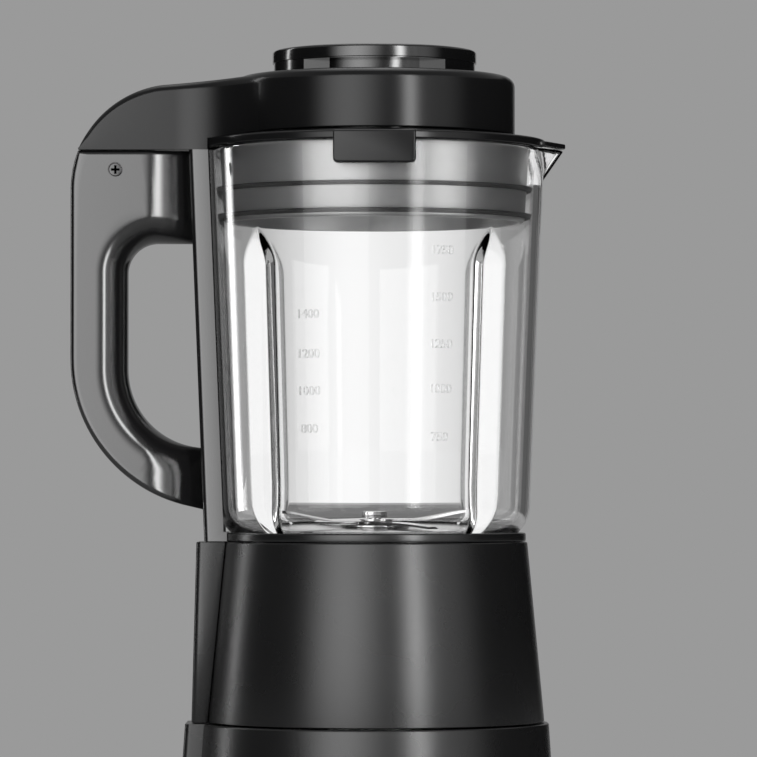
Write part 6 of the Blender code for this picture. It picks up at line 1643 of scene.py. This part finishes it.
@dataclass
class Base:
    """Tapered upper housing, lower housing, spine, cover, feet and well."""

    lower_foot: float = 0.0820
    lower_top: float = 0.0748
    upper_foot: float = 0.0729
    upper_top: float = 0.0656
    wall: float = 0.0026
    well_radius: float = 0.0602
    port_radius: float = 0.0240
    spine_half: float = 0.0175
    spine_edge: float = 0.0026
    stand_top: float = 0.0104
    stand_seam: float = 0.0052
    stand_foot: float = 0.0060
    foot_rounding: float = 0.0060
    foot_radius: float = 0.0090
    foot_circle: float = 0.0580
    panel_low: float = 0.0300
    panel_tall: float = 0.0620
    panel_sweep: float = math.radians(26)
    gland_height: float = 0.0220
    gland_bore: float = 0.0036
    gland_radius: float = 0.0058
    gland_flange: float = 0.0078
    gland_length: float = 0.009
    gland_proud: float = 0.0018
    inner_foot: float = 0.0775
    cover_radius: float = 0.0772
    boss_radius: float = 0.022

    def lower_radius(self, height: float) -> float:
        """Outer radius of the lower housing at a height."""
        share = (height - LEVELS.lower_floor) / (LEVELS.seam - LEVELS.lower_floor)
        return self.lower_foot + (self.lower_top - self.lower_foot) * share

    def upper_radius(self, height: float) -> float:
        """Outer radius of the upper housing at a height."""
        share = (height - LEVELS.upper_floor) / (LEVELS.base_top - LEVELS.upper_floor)
        return self.upper_foot + (self.upper_top - self.upper_foot) * share

    def spine(self, shop: Workshop, name: str, low: float, high: float, reach_low: float, reach_high: float) -> Piece:
        """Make an upright rib on the handle's side.

        Args:
            shop: the workshop.
            name: the object's name.
            low: its foot.
            high: its head.
            reach_low: its reach from the axis at the foot.
            reach_high: its reach at the head.

        Returns:
            The rib, solid to near the axis.
        """
        rings = []
        for height, reach in ((low, reach_low), (high, reach_high)):
            outline = box_outline((-reach, -self.spine_half), (-reach / 2, self.spine_half), self.spine_edge, 6)
            rings.append([(x, y, height) for x, y in outline])
        return shop.lofted(name, rings)

    def wedge(self, shop: Workshop, name: str, half_sweep: float, low: float, high: float, behind: float, proud: float,
              steps: int = 24) -> Piece:
        """Make a curved plate on the front of the lower cone.

        Args:
            shop: the workshop.
            name: the object's name.
            half_sweep: half its angle.
            low: its lower edge.
            high: its upper edge.
            behind: depth behind the cone's face.
            proud: height over the face.
            steps: facets across it.

        Returns:
            The plate.
        """
        outline = [(self.lower_radius(low) - behind, low), (self.lower_radius(low) + proud, low),
                   (self.lower_radius(high) + proud, high), (self.lower_radius(high) - behind, high)]
        rings = []
        for step in range(steps + 1):
            angle = -QUARTER - half_sweep + 2 * half_sweep * step / steps
            rings.append([(r * math.cos(angle), r * math.sin(angle), z) for r, z in outline])
        return shop.lofted(name, rings)

    def build(self, shop: Workshop) -> None:
        """Make and fit the base's shells.

        Args:
            shop: the workshop.
        """
        self.build_upper(shop)
        self.build_lower(shop)
        self.build_underside(shop)

    def build_upper(self, shop: Workshop) -> None:
        """Make the upper housing with its well, and the spine on it.

        Args:
            shop: the workshop.
        """
        well_wall, under = self.well_radius + self.wall, LEVELS.well_floor - self.wall
        deck = LEVELS.base_top - self.wall
        housing = shop.turned("upper_cone", [
            (self.upper_foot, LEVELS.upper_floor, 0.0004), (self.upper_top, LEVELS.base_top, 0.0009),
            (self.well_radius, LEVELS.base_top, 0.0009), (self.well_radius, LEVELS.well_floor, 0.0015),
            (self.port_radius, LEVELS.well_floor, 0.0005), (self.port_radius, under), (well_wall, under),
            (well_wall, deck), (self.upper_radius(deck) - self.wall, deck),
            (self.upper_foot - self.wall, LEVELS.upper_floor)], BASE_FACETS)
        port = shop.slab("port", box_outline((-0.0498, -0.0113), (-0.0362, 0.0113), 0.0016), under - 0.002,
                         LEVELS.well_floor + 0.002)
        shop.cut(housing, port)
        shop.fit(housing, Body.BASE, Look.SATIN, "base_upper_housing")
        spine = self.spine(shop, "upper_spine", LEVELS.upper_floor, LEVELS.base_top, self.upper_foot + self.stand_seam,
                           self.upper_top + self.stand_top)
        fit = LEVELS.gap
        low, high = LEVELS.lower_floor - 0.002, LEVELS.base_top + 0.002
        room = shop.turned("room", [
            (0.0, low), (self.lower_radius(low) + fit, low), (self.lower_radius(LEVELS.seam) + fit, LEVELS.seam + fit),
            (self.upper_radius(LEVELS.seam) + fit, LEVELS.seam + fit), (self.upper_radius(high) + fit, high),
            (0.0, high)], BASE_FACETS)
        shop.cut(spine, room)
        shop.bevelled(spine, 0.0005, 2, STEEP_ANGLE)
        shop.fit(spine, Body.BASE, Look.SATIN, "base_upper_spine")

    def build_lower(self, shop: Workshop) -> None:
        """Make the lower housing with its spine, the panel's window and the gland's hole.

        Args:
            shop: the workshop.
        """
        foot = self.lower_radius(LEVELS.lower_floor)
        shelf = LEVELS.seam - self.wall
        housing = shop.turned("lower_cone", [
            (self.inner_foot, LEVELS.lower_floor), (foot - 0.0006, LEVELS.lower_floor, 0.0042),
            (self.lower_top, LEVELS.seam, 0.0009), (self.upper_foot - self.wall, LEVELS.seam),
            (self.upper_foot - self.wall, shelf), (self.lower_radius(shelf) - self.wall, shelf),
            (self.lower_radius(0.0105) - self.wall, 0.0105)], BASE_FACETS)
        window = self.wedge(shop, "window", self.panel_sweep, self.panel_low, self.panel_low + self.panel_tall, 0.0052,
                            0.0052, 32)
        hole = shop.rod("hole", 0.0061, (0, 0.0658, self.gland_height), (0, 0.091, self.gland_height), 48)
        shop.cut(housing, window, hole)
        low = LEVELS.lower_floor + self.foot_rounding
        spine = self.spine(shop, "spine", low, LEVELS.seam, self.lower_radius(low) + self.stand_foot,
                           self.lower_radius(LEVELS.seam) + self.stand_foot)
        middle = self.wall / 2
        core = shop.turned("core", [
            (0.0, low - 0.002), (self.lower_radius(low) - middle, low - 0.002),
            (self.lower_radius(LEVELS.seam) - middle, LEVELS.seam + 0.002), (0.0, LEVELS.seam + 0.002)], BASE_FACETS)
        shop.cut(spine, core)
        shop.join(housing, spine)
        shop.fit(housing, Body.BASE, Look.SATIN, "base_lower_housing")

    def build_underside(self, shop: Workshop) -> None:
        """Make the bottom cover with its vents, the feet and the gland.

        Args:
            shop: the workshop.
        """
        low, top, pad = LEVELS.cover, LEVELS.cover + 0.0025, 0.0015
        cover = shop.turned("underside", [(0.0, pad), (self.boss_radius, pad, 0.0008), (self.boss_radius, low),
                                          (self.cover_radius, low, 0.0006), (self.cover_radius, top), (0.0, top)], 128)
        vent = shop.slab("vents", box_outline((0.030, -0.0015), (0.045, 0.0015), 0.0014, 5), low - 0.002, top + 0.002)
        shop.cut(cover, shop.ringed(vent, 10))
        shop.fit(cover, Body.BASE, Look.SATIN, "bottom_cover")
        for index in range(4):
            angle = TURN * (index + 0.5) / 4
            foot = shop.turned(f"rubber_foot_{index + 1}", [
                (0.0, 0.0), (self.foot_radius * 0.93, 0.0, 0.0008), (self.foot_radius, 0.0037, 0.0005), (0.003, 0.0037),
                (0.003, 0.0065), (0.0, 0.0065)], 48)
            foot.data.transform(
                Matrix.Translation((self.foot_circle * math.cos(angle), self.foot_circle * math.sin(angle), 0.0)))
            shop.fit(foot, Body.BASE, Look.RUBBER, f"foot_{index + 1}")
        face = self.lower_radius(self.gland_height - self.gland_flange) + LEVELS.gap
        back, front = face - self.gland_length, face + self.gland_proud
        gland = shop.turned("gland", [
            (self.gland_bore, back), (self.gland_radius, back), (self.gland_radius, face), (self.gland_flange, face),
            (self.gland_flange, front, 0.0008), (self.gland_bore, front, 0.0008)], 48)
        gland.data.transform(Matrix.Translation((0, 0, self.gland_height)) @ Matrix.Rotation(-QUARTER, 4, "X"))
        shop.fit(gland, Body.BASE, Look.RUBBER, "cord_gland")


@dataclass
class ControlPanel:
    """Panel on the front of the lower housing with its lens, knob and buttons."""

    base: Base = field(default_factory=Base)
    proud: float = 0.0004
    knob_radius: float = 0.0165
    knob_thickness: float = 0.0130
    knob_height: float = 0.0560
    knob_ribs: int = 36
    button_radius: float = 0.0052
    button_angle: float = math.radians(19.5)
    button_pitch: float = 0.0190
    lens_sweep: float = math.radians(13)
    lens_tall: float = 0.0090
    lens_margin: float = 0.0040
    bevel_angle: float = math.radians(60)
    holes_from: float = 0.068
    holes_to: float = 0.086
    dial_marks: int = 11
    dial_sweep: float = math.radians(297)

    def build(self, shop: Workshop) -> None:
        """Make and fit the panel's pieces.

        Args:
            shop: the workshop.
        """
        base = self.base
        low = base.panel_low + LEVELS.gap
        high = base.panel_low + base.panel_tall - LEVELS.gap
        panel = base.wedge(shop, "panel_face", base.panel_sweep - 0.004, low, high, base.wall, self.proud, 48)
        shop.bevelled(panel, 0.0004, 2, self.bevel_angle)
        lens_high = high - self.lens_margin
        lens_low = lens_high - self.lens_tall
        shop.cut(panel, base.wedge(shop, "window", self.lens_sweep, lens_low, lens_high, 0.0052, 0.0026))
        holes = [(0.0, self.knob_height, 0.0039)]
        places = [(side * self.button_angle, self.knob_height + (row - 0.5) * self.button_pitch) for side in (-1, 1)
                  for row in range(2)]
        holes += [(angle, height, self.button_radius + 0.0004) for angle, height in places]
        for angle, height, radius in holes:
            shop.cut(panel, shop.rod("hole", radius, at_front(self.holes_from, angle, height),
                                     at_front(self.holes_to, angle, height), 48))
        shop.fit(panel, Body.BASE, Look.GLOSS, "control_panel")
        lens = base.wedge(shop, "lens", self.lens_sweep - 0.004, lens_low + 0.0003, lens_high - 0.0003, base.wall,
                          self.proud / 2, 32)
        shop.bevelled(lens, 0.0002, 2, self.bevel_angle)
        shop.fit(lens, Body.BASE, Look.LENS, "display_lens")
        for index, (angle, height) in enumerate(places):
            self.build_button(shop, index + 1, angle, height)
        self.build_knob(shop)
        self.build_dial(shop)
        shop.repaint(Look.BOARD, "control_board")

    def build_button(self, shop: Workshop, number: int, angle: float, height: float) -> None:
        """Make one dished push button.

        Args:
            shop: the workshop.
            number: its number.
            angle: its angle from the front.
            height: its height.
        """
        face = self.base.lower_radius(height) + 0.0018
        radius = self.button_radius
        button = shop.turned(f"key_{number}", [
            (0.0, face - 0.0064), (radius, face - 0.0064), (radius, face, 0.0008), (radius * 0.72, face - 0.0001),
            (radius * 0.4, face - 0.00035), (0.0, face - 0.0004)], 64)
        turn = Matrix.Rotation(angle, 4, "Z") @ Matrix.Translation((0, 0, height)) @ Matrix.Rotation(QUARTER, 4, "X")
        button.data.transform(turn)
        shop.fit(button, Body(f"button_{number}"), Look.SATIN, f"button_{number}")

    def build_knob(self, shop: Workshop) -> None:
        """Make the speed knob: a turned body, a ring of grip ribs and a pale pointer line.

        Args:
            shop: the workshop.
        """
        back = self.base.lower_radius(self.knob_height - self.knob_radius) + self.proud + 0.0006
        front = back + self.knob_thickness
        radius = self.knob_radius
        body = shop.turned("knob_body", [
            (0.0, back), (radius - 0.0002, back, 0.0006), (radius - 0.0004, front - 0.0015, 0.0012),
            (radius - 0.0019, front, 0.0008), (radius * 0.55, front - 0.0003), (0.0, front - 0.0005)], 128)
        stem = shop.rod("stem", 0.0035, (0, 0, back - 0.0175), (0, 0, back + 0.002), 32)
        mark = shop.slab("mark", box_outline((-0.0008, radius * 0.4), (0.0008, radius * 1.2), 0.0005, 3),
                         front - 0.0008, front + 0.002)
        shop.join(body, stem)
        shop.cut(body, mark)
        rib = shop.rod("knob_grip", 0.00055, (radius - 0.0002, 0, back + 0.0018), (radius - 0.0004, 0, front - 0.0032),
                       10)
        ribs = shop.ringed(rib, self.knob_ribs)
        place = Matrix.Translation((0, 0, self.knob_height)) @ Matrix.Rotation(QUARTER, 4, "X")
        pointer = shop.slab("knob_pointer", box_outline((-0.0007, radius * 0.42), (0.0007, radius * 0.87), 0.0004, 3),
                            front - 0.0008, front - 0.0006)
        for piece in (body, ribs, pointer):
            piece.data.transform(place)
        shop.fit(body, Body.KNOB, Look.GLOSS, "speed_knob")
        shop.fit(ribs, Body.KNOB, Look.GLOSS)
        shop.fit(pointer, Body.KNOB, Look.INK)

    def build_dial(self, shop: Workshop) -> None:
        """Make the pale dial marks on the panel, from the knob's rest at the top clockwise to its last stop.

        Args:
            shop: the workshop.
        """
        tick = shop.slab("dial_marks", box_outline(
            (self.knob_radius + 0.0022, -0.00025), (self.knob_radius + 0.0040, 0.00025), 0.0002, 2), 0.0, 0.0003)
        shop.ringed(tick, self.dial_marks, math.pi, self.dial_sweep)
        for vertex in tick.data.vertices:
            x, up, out = vertex.co
            z = self.knob_height + up
            reach = self.base.lower_radius(z) + self.proud + 0.0001 + out
            vertex.co = at_front(reach, x / self.base.lower_radius(z), z)
        shop.fit(tick, Body.BASE, Look.INK)


@dataclass
class Drive:
    """Well seal, sockets and the motor inside the base."""

    bars: int = 24
    bar_half: float = 0.0009
    hub: float = 0.0043
    socket_radius: float = 0.014
    socket_floor: float = 0.005
    socket_tall: float = 0.0114
    seal_inner: float = 0.0144
    seal_outer: float = 0.0237
    core_low: float = 0.1173
    core_top: float = 0.1280
    core_radius: float = 0.0093

    def build(self, shop: Workshop) -> None:
        """Dress the solids that stay, and make the sockets in the well.

        Args:
            shop: the workshop.
        """
        foot = LEVELS.well_floor - 0.0026
        floor, top = foot + self.socket_floor, foot + self.socket_tall
        socket = shop.turned("drive_cup", [(self.hub, foot), (self.socket_radius, foot, 0.0004),
                                           (self.socket_radius, top, 0.0010), (self.hub, top)], 96)
        pocket = shop.slab("pocket", lobed(0.0092, 0.0011, 6, 10), floor, top + 0.002)
        shop.cut(socket, pocket)
        shop.fit(socket, Body.ROTOR, Look.NYLON, "drive_socket")
        seal = shop.turned("well_ring", [
            (self.seal_inner, foot), (self.seal_outer, foot), (self.seal_outer, foot + 0.0019, 0.0006),
            (self.seal_inner, foot + 0.0032, 0.0006)], 96)
        shop.fit(seal, Body.BASE, Look.RUBBER, "well_seal")
        outer = shop.turned("commutator_core", [
            (self.hub, self.core_low), (self.core_radius, self.core_low, 0.0003),
            (self.core_radius, self.core_top, 0.0003), (self.hub, self.core_top)], 48)
        shop.fit(outer, Body.ROTOR, Look.COPPER, "commutator")
        bar = shop.slab("commutator_bars", [(0.0088, -self.bar_half), (0.0099, -self.bar_half), (0.0099, self.bar_half),
                                            (0.0088, self.bar_half)], 0.1175, 0.1278)
        shop.fit(shop.ringed(bar, self.bars), Body.ROTOR, Look.COPPER)
        shop.repaint(Look.NYLON, "connector_socket", "interlock_switch", "cooling_fan")
        shop.repaint(Look.MOTOR, "motor_frame", "motor_bracket", "stator_core", "motor_shaft", "armature",
                     "lower_bearing", "upper_bearing")
        shop.repaint(Look.COPPER, "field_coil")


# Studio

@dataclass(frozen=True)
class Softbox:
    """A rectangular light that faces the part and fades towards its upright edges."""

    name: str
    azimuth: float
    distance: float
    height: float
    width: float
    tall: float
    radiance: float
    through: bool = False
    shows_on: tuple[str, ...] = ()
    shines_past: tuple[str, ...] = ()

    def place(self, target: float) -> None:
        """Add the light.

        Args:
            target: height on the axis that it faces.
        """
        lamp = bpy.data.lights.new(self.name, "AREA")
        lamp.shape, lamp.size, lamp.size_y = "RECTANGLE", self.width, self.tall
        lamp.energy = self.radiance * math.pi * self.width * self.tall
        holder = linked(self.name, lamp)
        aimed(holder, at_front(self.distance, math.radians(self.azimuth), self.height), (0.0, 0.0, target))
        holder.visible_camera, holder.visible_transmission = False, self.through
        self.fade(lamp)
        if self.shows_on:
            self.tie(holder)

    def fade(self, lamp: bpy.types.Light) -> None:
        """Let the light fall off smoothly from its middle to its upright edges.

        Args:
            lamp: the light's data.
        """
        lamp.use_nodes = True
        wiring = Wiring(lamp.node_tree)
        along = wiring.parts(wiring.node("ShaderNodeNewGeometry").outputs["Parametric"])[0]
        away = wiring.sum("ABSOLUTE", wiring.sum("SUBTRACT", along, 0.5))
        wiring.feed(lamp.node_tree.nodes["Emission"], {"Strength": wiring.smooth(away, 0.0, 0.5, 1.0, 0.0)})

    def tie(self, holder: Piece) -> None:
        """Show the light on its own pieces alone, past the pieces that would hide it.

        Args:
            holder: the light's object.
        """
        shown, passed = [bpy.data.collections.new(f"{self.name} {way}") for way in ("shows on", "shines past")]
        for group, names in ((shown, self.shows_on), (passed, self.shines_past)):
            for name in names:
                group.objects.link(bpy.data.objects[name])
        holder.light_linking.receiver_collection = shown
        for item in passed.collection_objects:
            item.light_linking.link_state = "EXCLUDE"
        holder.light_linking.blocker_collection = passed


@dataclass
class Studio:
    """Camera, lights, backdrop and floor."""

    backdrop: float = 0.323
    ambient: float = 0.36
    floor_radius: float = 1.5
    floor_fade: Point = (0.35, 1.2)
    camera_at: Corner = (0.0017, -2.150, 0.2051)
    looks_at: Corner = (0.0017, 0.0, 0.2539)
    lens: float = 237.8
    view_end: float = 50.0
    lights_at: float = 0.27
    glow: float = 0.90
    glow_fall: float = 0.56
    glow_half: float = 0.062
    drape_steps: int = 24

    def build(self, shop: Workshop) -> None:
        """Set up the whole studio.

        Args:
            shop: the workshop.
        """
        self.camera()
        self.world()
        self.floor(shop)
        self.glow_card()
        self.drape()
        for box in (Softbox("Left front softbox", -21.0, 1.2, 0.42, 1.60, 1.1, 4.1),
                    Softbox("Right front strip", 28.5, 1.2, 0.42, 0.36, 1.1, 14.5),
                    Softbox("Right side panel", 54.0, 1.2, 0.42, 1.30, 1.1, 1.0),
                    Softbox("Left rear strip", -113.0, 1.2, 0.42, 0.18, 1.1, 6.5, True),
                    Softbox("Left edge light", -115.0, 1.2, 0.42, 0.27, 1.1, 18.0, False, ("jug_glass",),
                            ("handle_front", "handle_rear", "handle_column", "interlock_rod")),
                    Softbox("Overhead panel", 180.0, 0.25, 1.45, 1.3, 0.9, 2.4, True)):
            box.place(self.lights_at)
        bpy.context.scene.view_settings.view_transform = "Standard"

    def camera(self) -> None:
        """Place the camera at the photograph's viewing angle."""
        data = bpy.data.cameras.new("Camera")
        data.lens, data.clip_end = self.lens, self.view_end
        bpy.context.scene.camera = linked("Camera", data)
        aimed(bpy.context.scene.camera, self.camera_at, self.looks_at)

    def world(self) -> None:
        """Grey backdrop for what is seen, and a plain ambient light for the rest."""
        world = bpy.data.worlds.new("Studio")
        bpy.context.scene.world = world
        world.use_nodes = True
        wiring = Wiring(world.node_tree)
        path = wiring.node("ShaderNodeLightPath").outputs
        seen = wiring.sum(
            "MAXIMUM", path["Is Camera Ray"], wiring.sum("MAXIMUM", path["Is Glossy Ray"], path["Is Transmission Ray"]))
        tone = wiring.sum("ADD", self.ambient, wiring.sum("MULTIPLY", seen, self.backdrop - self.ambient))
        wiring.feed(world.node_tree.nodes["Background"], {"Color": (1.0, 1.0, 1.0, 1.0), "Strength": tone})

    def plain(self, name: str, colour: float, emission: float = 0.0, roughness: float = 0.9,
              specular: float = 0.0) -> bpy.types.Material:
        """Make a plain stage material.

        Args:
            name: its name.
            colour: its grey.
            emission: strength of its own light.
            roughness: its roughness.
            specular: its specular level.

        Returns:
            The material.
        """
        material = bpy.data.materials.new(name)
        material.use_nodes = True
        Wiring(material.node_tree).feed(material.node_tree.nodes["Principled BSDF"], {
            "Base Color": (colour, colour, colour, 1.0), "Roughness": roughness, "Specular IOR Level": specular,
            "Emission Color": (1.0, 1.0, 1.0, 1.0), "Emission Strength": emission})
        return material

    def floor(self, shop: Workshop) -> None:
        """Pale round floor that fades into the backdrop at its edge.

        Args:
            shop: the workshop.
        """
        shape = bmesh.new()
        bmesh.ops.create_circle(shape, cap_ends=True, segments=96, radius=self.floor_radius)
        floor = shop.settle("Floor", shape)
        material = self.plain("Floor", 0.36, 0.0, 0.8, 0.1)
        nodes = material.node_tree.nodes
        wiring = Wiring(material.node_tree)
        glow = wiring.node("ShaderNodeEmission", {"Color": (self.backdrop, self.backdrop, self.backdrop, 1.0)})
        length = wiring.node("ShaderNodeVectorMath", {0: wiring.node("ShaderNodeTexCoord").outputs["Object"]},
                             operation="LENGTH")
        edge = wiring.smooth(length.outputs["Value"], *self.floor_fade, 0.0, 1.0)
        mix = wiring.node("ShaderNodeMixShader", {0: edge, 1: nodes["Principled BSDF"].outputs[0], 2: glow.outputs[0]})
        wiring.feed(nodes["Material Output"], {"Surface": mix.outputs[0]})
        floor.data.materials.append(material)

    def card(self, name: str, points: Sequence[Corner], material: bpy.types.Material) -> Piece:
        """Add a stage card that the camera, shadows and soft light don't see.

        Args:
            name: its name.
            points: its lower points, then as many upper ones.
            material: its material.

        Returns:
            The card.
        """
        mesh = bpy.data.meshes.new(name)
        count = len(points) // 2
        faces = [(index, index + 1, index + 1 + count, index + count) for index in range(count - 1)]
        mesh.from_pydata(points, [], faces)
        mesh.materials.append(material)
        card = linked(name, mesh)
        card.visible_camera = card.visible_diffuse = card.visible_shadow = False
        card.visible_volume_scatter = False
        return card

    def glow_card(self) -> None:
        """White and grey cards close behind the jug, seen through the glass, and one that only reflections show."""
        glow, shade = self.plain("Glow", 0.0, self.glow), self.plain("Shade", 0.0, 0.16)
        wiring = Wiring(glow.node_tree)
        across = wiring.parts(wiring.node("ShaderNodeTexCoord").outputs["Object"])[0]
        share = wiring.sum("POWER", wiring.sum("ABSOLUTE", wiring.sum("DIVIDE", across, self.glow_half)), 2.0)
        tone = wiring.sum("SUBTRACT", 1.0, wiring.sum("MULTIPLY", share, self.glow_fall))
        wiring.feed(glow.node_tree.nodes["Principled BSDF"],
                    {"Emission Strength": wiring.sum("MULTIPLY", tone, self.glow)})
        bright = self.plain("Spout glow", 0.0, 1.0)
        for name, left, right, low, high, depth, material in (
                ("Glow card", -0.062, 0.064, 0.1995, 0.36, 0.105, glow),
                ("Shade card", -0.060, 0.060, 0.165, 0.1985, 0.100, shade),
                ("Spout card", 0.0705, 0.110, 0.338, 0.3620, 0.020, bright),
                ("Blade card", -0.042, 0.042, 0.1890, 0.225, 0.045, glow)):
            card = self.card(name, [(x, depth, z) for z in (low, high) for x in (left, right)], material)
            card.visible_glossy = name == "Blade card"
            card.visible_transmission = not card.visible_glossy

    def drape(self) -> None:
        """Black drapes on both sides, with grey ones and bright screens that only show through the glass."""
        black, grey = self.plain("Drape", 0.01), self.plain("Grey drape", 0.0, 0.12)
        left, right = self.plain("Left screen", 0.0, 2.4), self.plain("Right screen", 0.0, 2.6)
        for name, start, stop, radius, material in (
                ("Right drape", 48, 160, 1.5, black), ("Left drape", -160, -42, 1.5, black),
                ("Right grey drape", 48, 160, 1.49, grey), ("Left grey drape", -160, -42, 1.49, grey),
                ("Left plug screen", -50, -4, 1.1, left), ("Right plug screen", 36, 66, 1.1, right)):
            turns = [math.radians(start + (stop - start) * step / self.drape_steps)
                     for step in range(self.drape_steps + 1)]
            points = [at_front(radius, turn, z) for z in (-0.05, 1.0) for turn in turns]
            self.card(name, points, material).visible_glossy = material is black


def main() -> None:
    """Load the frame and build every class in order."""
    logging.basicConfig(level=logging.INFO, format="%(name)s: %(message)s")
    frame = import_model()
    shop = Workshop(frame)
    for assembly in (Base(), ControlPanel(), Drive(), JugFoot(), BladeAssembly(), GlassJug(), Handle(), Lid(),
                     FillerCap()):
        assembly.build(shop)
        log.info("%s is built", type(assembly).__name__)
    Studio().build(shop)
    bpy.context.view_layer.update()


if __name__ == "__main__":
    main()
